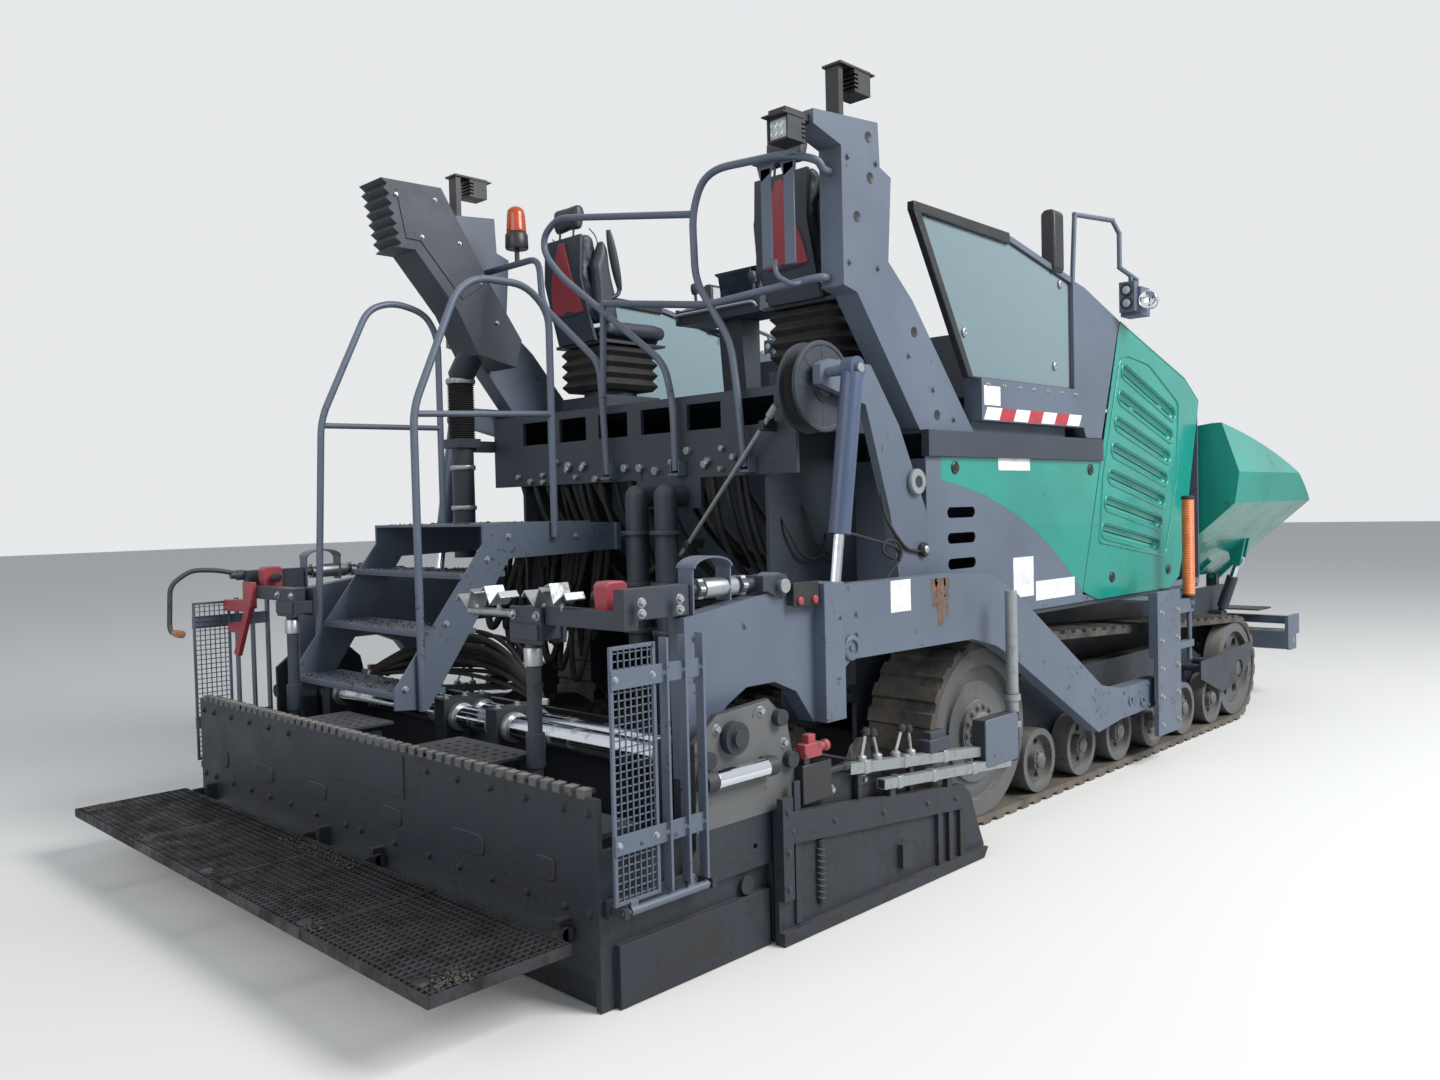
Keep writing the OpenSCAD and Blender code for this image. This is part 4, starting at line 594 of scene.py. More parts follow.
# Operator's side screens: a rubber-sealed pane on each side above a steel strip box that carries a red and
# white reflective marking, and a mirror on an arm.
mirror_silver = bare_metal("silvered_reflector", "#e3e7ea", "#9da2a6", 0.0, 0.06, relief=0.02)
lens_plastic = moulded_plastic("clear_lamp_polycarbonate", "#a9b2b8", 0.1, grain_mm=6.0)
red_film = moulded_plastic("red_reflective_film", "#9c2a33", 0.3, grain_mm=0.6)
white_film = moulded_plastic("white_reflective_film", "#d3d5d6", 0.3, grain_mm=0.6)
pane_edge = [(-352, 2848), (445, 2833), (1080, 2707), (1080, 2136), (73, 2136)]
seal = [(x, 1275, z) for x, z in pane_edge] + [(-352, 1275, 2848), (45, 1275, 2840)]
piece("pane_seal", "tractor", hose_rubber, both(tube(seal, 6, bend=30, sides=8)))
button = [(-1, 22), (5, 22), (8, 18), (8, 9), (5, 8), (5, 0.5)]
buttons = [lathe(button, (x, 1278, z), outward, sides=24) for x, z in ((20, 2345), (908, 2249), (978, 2690))]
piece("pane_buttons", "tractor", zinc_plate, both(*buttons))
stripes = ([], [])
for i in range(7):
    left_edge = 146 + 140 * i
    stripe = [(left_edge, 1936), (left_edge + 140, 1936), (left_edge + 172, 1996), (left_edge + 32, 1996)]
    stripes[(i + 1) % 2].append(slab(stripe, 1, side_face - 0.5, side_face + 1.2))
piece("marking_red", "tractor", red_film, both(*stripes[0]))
piece("marking_white", "tractor", white_film, both(*stripes[1]))
frame_top = [(-404, 2846), (-404, 2890), (430, 2876), (436, 2822)]
frame_rear = [(-405, 2853), (27, 2132), (74, 2132), (-350, 2853)]
piece("screen_frame_covers", "tractor", black_plastic,
      both(slab(frame_top, 1, 1256, 1294), slab(frame_rear, 1, 1257, 1293)), bevel=4)
mirror_outline = [(1228, 2760), (1248, 2740), (1290, 2740), (1308, 2760), (1308, 3052), (1290, 3072),
                  (1248, 3072), (1228, 3052)]
piece("mirror_shell", "tractor", black_plastic, both(slab(mirror_outline, 0, 866, 974)), bevel=10)
mirror_face = [(886, 2764), (954, 2764), (954, 3048), (886, 3048)]
piece("mirror_glass", "tractor", mirror_silver, both(slab(mirror_face, 1, 1230, 1226)))
signal_rim = [(-2, 34), (12, 34), (12, 29), (4, 26), (4, 0.5)]
signal_lens = [(-1, 25), (7, 24), (10, 16), (11, 0.5)]
signals = [lathe(signal_rim, (1600, 1366, z), aft) for z in (2648, 2722)]
signal_lenses = [lathe(signal_lens, (1598, 1366, z), aft) for z in (2648, 2722)]
side_lamp = [(0, 0.5), (0, 30), (30, 52), (74, 52), (80, 48), (72, 40), (66, 12), (66, 0.5)]
piece("front_signal_lamps", "tractor", black_plastic, both(*signals),
      both(box((1690, 1425, 2640), (1716, 1462, 2680))))
piece("front_signal_lenses", "tractor", lens_plastic, both(*signal_lenses))
piece("front_side_lamp", "tractor", mirror_silver,
      both(lathe(side_lamp, (1720, 1458, 2660), (-1, 0.12, 0), sides=32)))
box_bolts = [(x, side_face - 1, 2105) for x in range(190, 1180, 150)]
piece("strip_box_screws", "tractor", zinc_plate, both(bolts(box_bolts, outward, across=14)))
plate_corners = [((398, 1050), (600, 1252)), ((622, 1020), (1045, 1120)), ((150, 2006), (300, 2100)),
                 ((270, 1690), (580, 1762))]
plates = [box((x0, side_face - 1, z0), (x1, side_face + 1.5, z1)) for (x0, z0), (x1, z1) in plate_corners]
piece("blank_side_plates", "tractor", white_film, mirrored(*plates), bevel=0.6)
arm_plate = box((-872, arm_face - 1, 1090), (-730, arm_face + 1.5, 1222))
piece("blank_arm_plate", "screed", white_film, mirrored(arm_plate), bevel=0.6)


# Work lamps: die-cast housings with a polycarbonate lens over six reflectors, one forward and one rearward on
# each tower, hung from bent steel straps.
def lamp_face(x, y, z, way):
    """The lens of one lamp and its six reflectors, looking along X in the sense of `way`, in mm."""
    bowl = [(0, 15), (3, 13), (-5, 5), (-5, 0.5)]
    middles = [(x + way, y + 30 * i, z + 17 * k) for i in (-1, 0, 1) for k in (-1, 1)]
    lens = slab([(y - 48, z - 40), (y + 48, z - 40), (y + 48, z + 40), (y - 48, z + 40)], 0, x - 1.5 * way,
                x + 1.5 * way)
    return lens, joined(*[lathe(bowl, middle, (way, 0, 0), sides=16) for middle in middles])


lenses = []
reflectors = []
left_tower_back = 330
for rear_shift, side in ((0, -1), (-left_tower_back, 1)):
    for x, z, way in ((-672, 3338, 1), (-1203, 3048, -1)):
        lens, bowls = lamp_face(x + rear_shift, 1200 * side, z, way)
        lenses.append(lens)
        reflectors.append(bowls)
piece("lamp_lenses", "tractor", lens_plastic, *lenses)
piece("lamp_reflectors", "tractor", mirror_silver, *reflectors)


# Towers: box sections that hold up the roof fittings, with bolted flanges and access holes in their outer
# plates. Each hole is covered by a flat black disc, painted shade of the dark inside of the tower. The left
# tower stands further back than the right one.
tower_face = 1260
tower_bolts = [(-840, 3000), (-640, 3010), (-840, 2560), (-640, 2560), (-420, 2200), (-230, 2060),
               (-60, 1930)]
right_side = mirrored(bolts([(x, tower_face - 1, z) for x, z in tower_bolts], outward, across=18))
left_side = bolts([(x - left_tower_back, tower_face - 1, z) for x, z in tower_bolts], outward, across=18)
piece("tower_bolts", "tractor", slate_paint, right_side, left_side)
# Flat black discs over the holes: painted shade of the tower's dark inside, seen through them.
hole = [(-1, 24), (1.4, 24), (1.8, 21), (0.8, 19), (0.8, 0.5)]
holes = [(-690, 3113), (-682, 2941), (-373, 2310), (-199, 1944), (-780, 2760)]
right_holes = mirrored(*[lathe(hole, (x, tower_face, z), outward, sides=20) for x, z in holes])
left_holes = [lathe(hole, (x - left_tower_back, tower_face, z), outward, sides=20) for x, z in holes]
piece("tower_plugs", "tractor", black_plastic, right_holes, *left_holes)


# Fume extraction: a sheet steel duct leads from the auger's tunnel to a toothed mouth above the left seat.
# Its lower end is a corrugated rubber hose between two clamp bands.
pipe_at = (-1190, 1160)
hose_ribs = [(12 * i + 6 * k, 64.0 + 10 * (k % 2)) for i in range(26) for k in (0, 1)]
fume_hose = lathe([(-4, 60)] + hose_ribs + [(312, 60)], (*pipe_at, 1952), skyward, sides=28)
piece("fume_hose", "tractor", hose_rubber, fume_hose)
band = [(0, 61), (0, 67), (3, 69), (22, 69), (25, 67), (25, 61)]
collar = [(0, 60), (0, 78), (10, 80), (24, 80), (30, 74), (30, 60)]
bands = [lathe(band, (*pipe_at, z), skyward) for z in (1560, 1780)]
piece("fume_hose_bands", "tractor", zinc_plate, *bands, lathe(collar, (*pipe_at, 2252), skyward))
duct_screws = [(-1700, 3140), (-1480, 3150), (-1340, 2950), (-1220, 2760), (-1560, 2950), (-1120, 2560)]
outer_screws = bolts([(x, 1125, z) for x, z in duct_screws], outward, across=13)
inner_screws = bolts([(x, 895, z) for x, z in duct_screws], inward, across=13)
piece("fume_duct_screws", "tractor", zinc_plate, outer_screws, inner_screws)
flange = [(0, 55), (0, 78), (14, 80), (20, 78), (20, 55)]
flanges = [lathe(flange, (-1110, y, z), skyward) for y in (-180, -380) for z in (960, 1180, 1420)]
piece("pipe_flanges", "tractor", charcoal_paint, *flanges)


# Handrails: 34 mm steel tube, bent cold round a former and welded, so every corner is a smooth bend. They end
# in welded feet, and a short stem carries the beacon.
amber_plastic = moulded_plastic("amber_polycarbonate", "#a9471f", 0.18, grain_mm=4.0)
rail = 17.0
outer_y, inner_y = 1087.7, 92.3
deck_edge = -1040
rail_feet_y = (-820, -380, 110)
rail_lines = [[(deck_edge, -820, 1715), (deck_edge, -780, 2060), (deck_edge, -750, 2270),
               (deck_edge, -540, 2570), (deck_edge, -530, 2870), (deck_edge, -590, 3000),
               (deck_edge, -690, 3040), (deck_edge, -1080, 3010), (-960, -1200, 2980), (-930, -1200, 2940),
               (-880, -1200, 2940)],
              [(deck_edge, -380, 1715), (deck_edge, -370, 2030), (deck_edge, -320, 2220),
               (deck_edge, 430, 2740), (deck_edge, 570, 2880), (deck_edge, 570, 2980), (deck_edge, 450, 3045),
               (deck_edge, -529, 2870)],
              [(deck_edge, 110, 2560), (deck_edge, -610, 2450), (-930, -1180, 2500), (-880, -1180, 2500)],
              [(deck_edge, 110, 1715), (deck_edge, 150, 2270), (deck_edge, 600, 2620), (deck_edge, 620, 2870),
               (deck_edge, 1140, 2870)],
              [(-2100, outer_y, 700), (-2040, outer_y, 2020), (-1770, outer_y, 2590), (-1620, outer_y, 2640),
               (-1440, outer_y, 2600), (-1370, outer_y, 2480), (-1370, outer_y, 1420)],
              [(-2120, inner_y, 700), (-2120, inner_y, 1990), (-1890, inner_y, 2520), (-1780, inner_y, 2590),
               (-1520, inner_y, 2590), (-1390, inner_y, 2480), (-1390, inner_y, 1420)]]
rail_tubes = [tube(line, rail, bend=80, sides=14) for line in rail_lines]
rail_tubes += [tube([(-2040, outer_y, 1990), (-1370, outer_y, 2000)], rail - 3),
               tube([(-2120, inner_y, 1970), (-1390, inner_y, 2000)], rail - 3),
               tube([(deck_edge, 110, 2560), (deck_edge, 130, 2100)], rail - 1)]
rail_feet = [box((deck_edge - 22, y - 34, 1690), (-1000, y + 34, 1704)) for y in rail_feet_y]
rail_feet += [box((deck_edge - 10, y - 30, 1700), (-1000, y - 24, 1762)) for y in rail_feet_y]
rail_feet += [box((deck_edge - 10, y + 24, 1700), (-1000, y + 30, 1762)) for y in rail_feet_y]
strips_y = (-950, -1078)
strips = [box((-1010, y - 29, 2560), (-1003, y + 29, 2985)) for y in strips_y]
strips += [slab([(y - 29, 2960), (y + 29, 2930), (y + 60, 3036), (y - 70, 3036)], 0, -1010, -1003)
           for y in strips_y]
strips += [box((-1044, y - 60, 3002), (-1003, y + 50, 3012)) for y in strips_y]
strip_loop = [(-1006, -985, 2580), (-1006, -1000, 2520), (-990, -1075, 2474), (-955, -1090, 2488)]
strips.append(tube(strip_loop, 11, bend=24, sides=10))
strips.append(box((-1013, -1000, 2566), (-1000, -935, 2592)))
piece("hanging_strips", "tractor", slate_paint, *strips, bevel=2)
handrail = piece("handrail_tubes", "tractor", slate_paint, *rail_tubes)
piece("handrail_feet", "tractor", slate_paint, *rail_feet, bevel=2)
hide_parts("handrails")
beacon_at = (deck_edge, 810, 2948)
piece("beacon_base", "tractor", black_plastic,
      lathe([(0, 30), (0, 58), (8, 62), (74, 60), (86, 54), (92, 46)], beacon_at, skyward),
      tube([(deck_edge, 810, 2868), (deck_edge, 810, 2955)], rail - 4))
dome_ribs = [(92 + 12 * i, 52 - 0.6 * i + 1.6 * (i % 2)) for i in range(9)]
dome = [(84, 44)] + dome_ribs + [(206, 44), (220, 30), (228, 12), (230, 0.5)]
piece("beacon_dome", "tractor", amber_plastic, lathe(dome, beacon_at, skyward, sides=28))


# Stairs: bolted treads of punched plate between two cheeks, caked with asphalt carried up on boots. The crust
# is a scatter of stones and binder, heaped where a tread meets the cheek.
def crust(count, low, high, size, seed):
    """Stones: octahedra with corners pushed about by a seeded random, dropped evenly over a flat patch."""
    random = np.random.default_rng(seed)
    corners = np.array([(1, 0, 0), (-1, 0, 0), (0, 1, 0), (0, -1, 0), (0, 0, 1), (0, 0, -1)], dtype=float)
    faces = [(0, 2, 4), (2, 1, 4), (1, 3, 4), (3, 0, 4), (2, 0, 5), (1, 2, 5), (3, 1, 5), (0, 3, 5)]
    middles = random.uniform(low, high, (count, 3))
    spread = random.uniform(0.45, 1.0, (count, 1, 1)) ** 2 * size
    points = middles[:, None, :] + corners * spread * random.uniform(0.6, 1.3, (count, 6, 1))
    every = [tuple(index + 6 * i for index in face) for i in range(count) for face in faces]
    return metres(points.reshape(-1, 3)), every


asphalt_crust = dusty_rubber("stuck_asphalt_and_stones", "#1d1c1c", "#6f675d", 0.5, 3.0)
crusts = []
for k in range(3):
    x, z = -2235 + 165 * k, 785 + 245 * k
    crusts.append(crust(200, (x + 8, 118, z), (x + 232, 1062, z + 2), 8, 10 + k))
    crusts.append(crust(90, (x + 120, 125, z), (x + 225, 500, z + 8), 11, 20 + k))
crusts.append(crust(160, (-1770, 130, 1492), (-1180, 1050, 1494), 7, 31))
piece("stair_crust", "tractor", asphalt_crust, *crusts)
nosings = [box((-2239 + 165 * k, 112, 770 + 245 * k), (-2233 + 165 * k, 1068, 789 + 245 * k))
           for k in range(3)]
piece("stair_nosings", "tractor", slate_paint, *nosings, bevel=1.5)
cheek_bolts = [(-2190, 800), (-1980, 1060), (-1760, 1330), (-1640, 1430), (-1250, 1420)]
piece("stair_bolts", "tractor", zinc_plate, bolts([(x, 1070, z) for x, z in cheek_bolts], outward, across=18),
      bolts([(x, 110, z) for x, z in cheek_bolts], inward, across=18))


# Guards at the ends of the walkway: welded mesh of 4 mm wire in a folded frame, with three upright flats,
# hung on a hinge rod so that they fold outwards.
def guard_shape():
    """Wires every 24 mm both ways inside a border, with bands, upright flats, a hinge barrel and its rod."""
    parts = []
    for x in np.arange(-2486, -2316, 24.0):
        parts.append(box((x, 1594, 350), (x + 4, 1598, 1126)))
    for z in np.arange(362, 1120, 24.0):
        parts.append(box((-2492, 1591, z), (-2314, 1594.5, z + 4)))
    for low, high in (((-2495, 1590, 345), (-2483, 1600, 1130)), ((-2322, 1590, 345), (-2310, 1600, 1130)),
                      ((-2484, 1590, 345), (-2321, 1600, 357)), ((-2484, 1590, 1118), (-2321, 1600, 1130))):
        parts.append(box(low, high))
    for x in (-2280, -2200, -2122):
        parts.append(box((x, 1582, 345), (x + 10, 1618, 1140)))
    for z in (500, 1000):
        parts.append(box((-2495, 1599, z), (-2112, 1606, z + 60)))
    for x in (-2440, -2200):
        parts.append(box((x, 1592, 318), (x + 30, 1605, 350)))
    parts.append(lathe([(0, 8.5), (0, 14), (330, 14), (330, 8.5)], (-2440, 1600, 320), fore, sides=16))
    parts.append(lathe([(0, 0.5), (0, 8), (386, 8), (386, 0.5)], (-2468, 1600, 320), fore, sides=12))
    return joined(*parts)


for side, turned in (("left", joined), ("right", mirrored)):
    mesh_guard = piece("guard_mesh_" + side, "guard_" + side, slate_paint, turned(guard_shape()))
    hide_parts("guard_" + side)
    piece("guard_screws_" + side, "guard_" + side, zinc_plate,
          turned(bolts([(x, 1605, z) for x in (-2480, -2330, -2275, -2195, -2117) for z in (530, 1030)],
                       outward, across=14)))


# Walkway: two sections of press-welded steel grating, 30 mm mesh, in angle frames, hinged to the screed's
# rear wall. The bars are 25 mm deep and blackened with oil, and asphalt sticks in the corners.
def grating(y_low, y_high):
    """Deep bars along Y and thin wires along X, inside an angle frame that reaches from y_low to y_high."""
    parts = []
    for x in np.arange(-3058, -2600, 30.0):
        parts.append(box((x, y_low + 6, 212), (x + 4, y_high - 6, 239)))
    for y in np.arange(y_low + 28, y_high - 12, 30.0):
        parts.append(box((-3074, y, 229), (-2596, y + 5, 238)))
    for low, high in (((-3080, y_low, 205), (-3074, y_high, 240)),
                      ((-2596, y_low, 205), (-2590, y_high, 240)),
                      ((-3075, y_low, 205), (-2595, y_low + 6, 240)),
                      ((-3075, y_high - 6, 205), (-2595, y_high, 240)),
                      ((-3075, y_low + 5, 205), (-2595, y_low + 34, 211)),
                      ((-3075, y_high - 34, 205), (-2595, y_high - 5, 211))):
        parts.append(box(low, high))
    return parts


hinges = []
hinge_x, hinge_z = -2532, 230
for y in (242, 1392):
    hinges.append(box((-2594, y, 208), (hinge_x, y + 20, 248)))
    hinges.append(lathe([(0, 10.5), (0, 22), (20, 22), (20, 10.5)], (hinge_x, y, hinge_z), outward, sides=20))
for y in (195, 1345):
    hinges.append(lathe([(0, 0.5), (0, 10), (66, 10), (66, 0.5)], (hinge_x, y, hinge_z), outward, sides=16))
for y in (90, 700, 1400):
    hinges.append(lathe([(0, 0.5), (0, 26), (14, 26), (20, 20), (20, 0.5)], (-3040, y, 226), skyward,
                        sides=18))
walk = piece("walkway_grating", "walkway", grating_steel,
             both(*(grating(2, 746) + grating(754, 1500) + hinges)))
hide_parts("walkway")
piece("walkway_crust", "walkway", asphalt_crust,
      both(crust(110, (-3060, 1380, 236), (-2900, 1490, 242), 8, 41),
           crust(90, (-2700, 20, 236), (-2605, 300, 241), 7, 42),
           crust(70, (-3060, 700, 236), (-3000, 800, 241), 7, 43)))


# Screed fittings: lock nuts, turnbuckle, sleeve and screws of the levelling spindle and the strut, turned and
# zinc plated. A red clamp with a black knob holds the sensor's arm, under a folded cover sprayed slate grey.
spindle_y, spindle_z = 1420, 1262
lock_nut = [(0, 22), (0, 40), (24, 40), (24, 22)]
turnbuckle = [(0, 23), (0, 34), (10, 36), (150, 36), (160, 34), (160, 23)]
cross_pin = [(0, 0.5), (0, 26), (8, 26), (10, 20), (126, 20), (128, 26), (138, 26), (138, 0.5)]
strut_sleeve = [(0, 26.3), (0, 33), (60, 33), (64, 30), (64, 26.3)]
strut_x, strut_y = -2290, 940
fit_parts = [lathe(lock_nut, (x, spindle_y, spindle_z), fore, sides=6) for x in (-1961, -1746)]
fit_parts.append(lathe(turnbuckle, (-1925, spindle_y, spindle_z), fore, sides=10))
fit_parts.append(lathe(cross_pin, (-1570, 1362, 1250), outward))
bracket_places = [(-2250, 1474, 1240), (-2080, 1474, 1240), (-2250, 1474, 1205), (-2080, 1474, 1205)]
fit_parts.append(bolts(bracket_places, outward, across=20))
foot_places = [(strut_x + dx, strut_y + dy, 514) for dx in (-36, 18) for dy in (-36, 36)]
fit_parts.append(bolts(foot_places, skyward, across=16))
fit_parts.append(bolts([(-2320, y, 1180) for y in (870, 1010)], aft, across=20))
fit_parts.append(lathe(strut_sleeve, (strut_x, strut_y, 1000), skyward, sides=20))
piece("levelling_hardware", "screed", zinc_plate, both(*fit_parts))
clamp_outline = [(-2270, 1196), (-2190, 1196), (-2180, 1206), (-2180, 1290), (-2196, 1304), (-2262, 1304),
                 (-2276, 1290)]
piece("levelling_clamp", "screed", red_paint, both(slab(clamp_outline, 1, 1262, 1330)), bevel=5)
knob = [(0, 10), (24, 10), (26, 22), (40, 25), (46, 22), (48, 8), (48, 0.5)]
piece("levelling_clamp_knob", "screed", black_plastic, both(lathe(knob, (-2228, 1264, 1250), inward)))
cover_x, cover_z = -1905, 1335
cover = [(cover_x + 95 * math.cos(a), cover_z + 40 * math.sin(a)) for a in np.linspace(0, np.pi, 14)]
cover += [(cover_x + 88 * math.cos(a), cover_z + 33 * math.sin(a)) for a in np.linspace(np.pi, 0, 14)]
piece("spindle_cover", "screed", slate_paint, both(slab(cover, 1, 1375, 1465)),
      both(box((-2000, 1385, 1160), (-1993, 1455, 1340)), box((-1817, 1385, 1215), (-1810, 1455, 1340))))


# Screed body: a folded and welded shell, caked with bitumen, with a bolted rear wall, pressed covers and
# teeth to grip by. Zinc plated sleeves in bored blocks guide the extensions' ground and chromed tubes.
screed_rear = -2500
wall_bolts = [(screed_rear, y, z) for y in (560, 760, 960, 1160, 1360, 1480) for z in (300, 610)]
wall_bolts += [(screed_rear, y, 300) for y in (60, 320)]
piece("rear_wall_bolts", "screed", tarry_paint, both(bolts(wall_bolts, aft, across=19, height=9)))
windows = []
for y, z, wide, high in ((300, 400, 150, 70), (820, 400, 200, 80), (1260, 400, 110, 80)):
    turn = np.linspace(0, 2 * np.pi, 40, endpoint=False)
    outline = np.column_stack([y + np.sign(np.cos(turn)) * wide / 2 * np.abs(np.cos(turn)) ** 0.45,
                               z + np.sign(np.sin(turn)) * high / 2 * np.abs(np.sin(turn)) ** 0.45])
    windows.append(slab(outline, 0, screed_rear, screed_rear - 5, taper=0.05))
piece("rear_wall_covers", "screed", tarry_paint, both(*windows), bevel=2)
teeth = [box((screed_rear - 3, y, 652), (screed_rear + 30, y + 38, 684)) for y in np.arange(6, 1480, 62.0)]
piece("wall_grip_teeth", "screed", wheel_paint, both(*teeth), bevel=3)
sleeve = [(0, 50.6), (0, 62), (6, 64), (30, 64), (36, 62), (36, 50.6)]
blocks_y = (-1300, -250, 150, 1220)
left_tube_x, right_tube_x, tube_z = -1790, -1905, 640
sleeves = []
for y in blocks_y:
    for x in (left_tube_x, right_tube_x):
        sleeves.append(lathe(sleeve, (x, y + 80, tube_z), outward))
        sleeves.append(lathe(sleeve, (x, y, tube_z), inward))
piece("guide_sleeves", "screed", zinc_plate, *sleeves)
block_bolts = [(x, y + 40, 720) for y in blocks_y for x in (-1945, -1848, -1760)]
piece("guide_block_bolts", "screed", zinc_plate, bolts(block_bolts, skyward, across=20))
chrome = [(0, 50), (0, 50.4), (2690, 50.4), (2690, 50)]
for side, turned, x in (("left", joined, left_tube_x), ("right", mirrored, right_tube_x)):
    piece("guide_tube_skin_" + side, "extension_" + side, hard_chrome,
          turned(lathe(chrome, (x, -1340, tube_z), outward, sides=40)))


# End gates: a floating side plate on each extension with galvanised rails on top for the sensors, a sensor
# mast with a junction box, spring slides and hand levers, all bolted to the extension's end plate.
def square_at(x, y, z, half):
    """The four corners of a square across X, each `half` mm from its middle both ways."""
    return [(x, y - half, z - half), (x, y + half, z - half), (x, y + half, z + half),
            (x, y - half, z + half)]


def square_rail(x0, z0, x1, z1, y, width):
    """A hollow square tube over the solid rail, on the same line. Its 3 mm walls show at the open ends."""
    outside, inside = width / 2 + 0.6, width / 2 - 3
    fall = (z0 - z1) * 30 / (x1 - x0)
    rows = [square_at(x0 + 30, y, z0 - fall, inside), square_at(x0 - 1, y, z0, inside),
            square_at(x0 - 1, y, z0, outside), square_at(x1 + 1, y, z1, outside),
            square_at(x1 + 1, y, z1, inside), square_at(x1 - 30, y, z1 + fall, inside)]
    return rings(np.array(rows))


galvanised = bare_metal("galvanised_square_tube", "#8b9193", "#706e69", 0.12, 0.5, metallic=0.45, scale=20.0,
                        relief=0.2)
gate_y, gate_face, plate_out = 1565.0, 1585.0, 1550.0
rails = [square_rail(-1325, 547, -395, 453, gate_y + 4, 40),
         square_rail(-1147, 458, -200, 377, gate_y + 30, 38)]
rail_clips = [box((x, gate_y - 20, z), (x + 36, gate_y + 28, z + 52))
              for x, z in ((-1240, 512), (-980, 488), (-700, 458))]
rail_clips += [box((x, gate_y + 8, z), (x + 32, gate_y + 53, z + 50))
               for x, z in ((-1060, 425), (-820, 404), (-520, 378))]
mast_x, mast_y = -120, gate_y + 15
mast_tube = [(0, 0.5), (0, 27), (740, 27), (742, 25), (742, 0.5)]
mast_clamp = [(0, 27.4), (0, 36), (28, 36), (28, 27.4)]
mast = [lathe(mast_tube, (mast_x, mast_y, 392), skyward, sides=28)]
mast += [lathe(mast_clamp, (mast_x, mast_y, z), skyward, sides=28) for z in (520, 640)]
junction_outline = [(-400, 382), (-150, 382), (-136, 396), (-136, 580), (-150, 594), (-400, 594), (-414, 580),
                    (-414, 396)]
junction = slab(junction_outline, 1, gate_y + 45, gate_y + 52, taper=0.02)
slide_nut = [(0, 20), (26, 20), (32, 14), (32, 0.5)]
lever_knob = [(0, 8), (2, 14), (14, 19), (28, 16), (34, 8), (35, 0.5)]
lever_sets = []
knobs = []
for x, lean in ((-1230, 30), (-1130, -24), (-1010, 46), (-905, -12)):
    z = 560 - (x + 1325) * 0.1
    lever_sets.append(lathe(slide_nut, (x, gate_y + 2, z), skyward, sides=16))
    lever = [(x, gate_y + 2, z + 26), (x + lean * 0.4, gate_y + 2, z + 60), (x + lean, gate_y, z + 110)]
    lever_sets.append(tube(lever, 7, bend=20, sides=8))
    knobs.append(lathe(lever_knob, (x + lean * 0.9, gate_y, z + 100), (lean, 0, 110)))
valve = [box((-800, gate_y - 34, 510), (-650, gate_y + 26, 566)),
         box((-780, gate_y - 24, 560), (-670, gate_y + 16, 596))]
tube_skin = lathe([(0, 32), (0, 33), (250, 33), (250, 32)], (-2045, plate_out + 30, 640), fore, sides=32)
plate_edge = [(-2103, 470), (-2103, 765), (-1999, 846), (-1739, 864), (-1644, 777), (-1600, 590),
              (-1600, 470)]
plate_skin = slab(plate_edge, 1, plate_out, plate_out + 1.6)
end_places = [(-2130, 330), (-1700, 180), (-1600, 180), (-1400, 480), (-1200, 480), (-1660, 700),
              (-2000, 800), (-1780, 830)]
end_bolts = [(x, plate_out, z) for x, z in end_places]
gate_places = [(-1690, 400), (-1450, 385), (-1150, 352), (-850, 322), (-640, 300)]
gate_bolts = [(x, gate_face + 21, z) for x, z in gate_places]
gate_bolts += [(-1717, gate_face + 27, z) for z in (200, 330, 470)]
spring_end = 18 * np.pi
spring = [(-1520 + 17 * math.cos(a), gate_face + 8 + 17 * math.sin(a) * 0.8, 110 + 200 * a / spring_end)
          for a in np.linspace(0, spring_end, 200)]
hose_stub = lathe([(0, 14), (90, 14), (92, 20), (130, 20), (134, 10), (134, 0.5)],
                  (-1450, plate_out + 20, 560), fore, sides=16)
coil_stub = lathe([(0, 15), (30, 15), (34, 22), (54, 22), (58, 12), (58, 0.5)], (-1502, plate_out + 22, 660),
                  fore, sides=18)
for side, turned in (("left", joined), ("right", mirrored)):
    body = "extension_" + side
    piece("gate_rails_" + side, body, galvanised, turned(*rails))
    piece("gate_rail_clips_" + side, body, zinc_plate, turned(*rail_clips), bevel=3)
    piece("sensor_mast_" + side, body, galvanised, turned(*mast))
    piece("sensor_box_lid_" + side, body, slate_paint, turned(junction), bevel=3)
    piece("gate_levers_" + side, body, zinc_plate, turned(*lever_sets))
    piece("gate_lever_knobs_" + side, body, black_plastic, turned(*knobs))
    piece("gate_valve_" + side, body, charcoal_paint, turned(*valve), bevel=4)
    piece("end_cylinder_skin_" + side, body, hard_chrome, turned(tube_skin))
    piece("end_plate_skin_" + side, body, wheel_paint, turned(plate_skin), bevel=0.5)
    piece("end_plate_bolts_" + side, body, zinc_plate, turned(bolts(end_bolts, outward, across=22)))
    piece("gate_bolts_" + side, body, charcoal_paint, turned(bolts(gate_bolts, outward, across=16, height=8)))
    piece("gate_spring_" + side, body, charcoal_paint, turned(tube(spring, 3.5, sides=8)))
    piece("end_plate_valve_" + side, body, black_plastic,
          turned(box((-1606, plate_out - 1, 470), (-1444, plate_out + 42, 610)),
                 box((-1590, plate_out + 8, 606), (-1560, plate_out + 36, 640)), hose_stub), bevel=5)
    piece("end_plate_valve_body_" + side, body, red_paint,
          turned(box((-1596, plate_out + 2, 632), (-1500, plate_out + 46, 684)),
                 box((-1570, plate_out + 8, 680), (-1530, plate_out + 40, 716)), coil_stub), bevel=3)


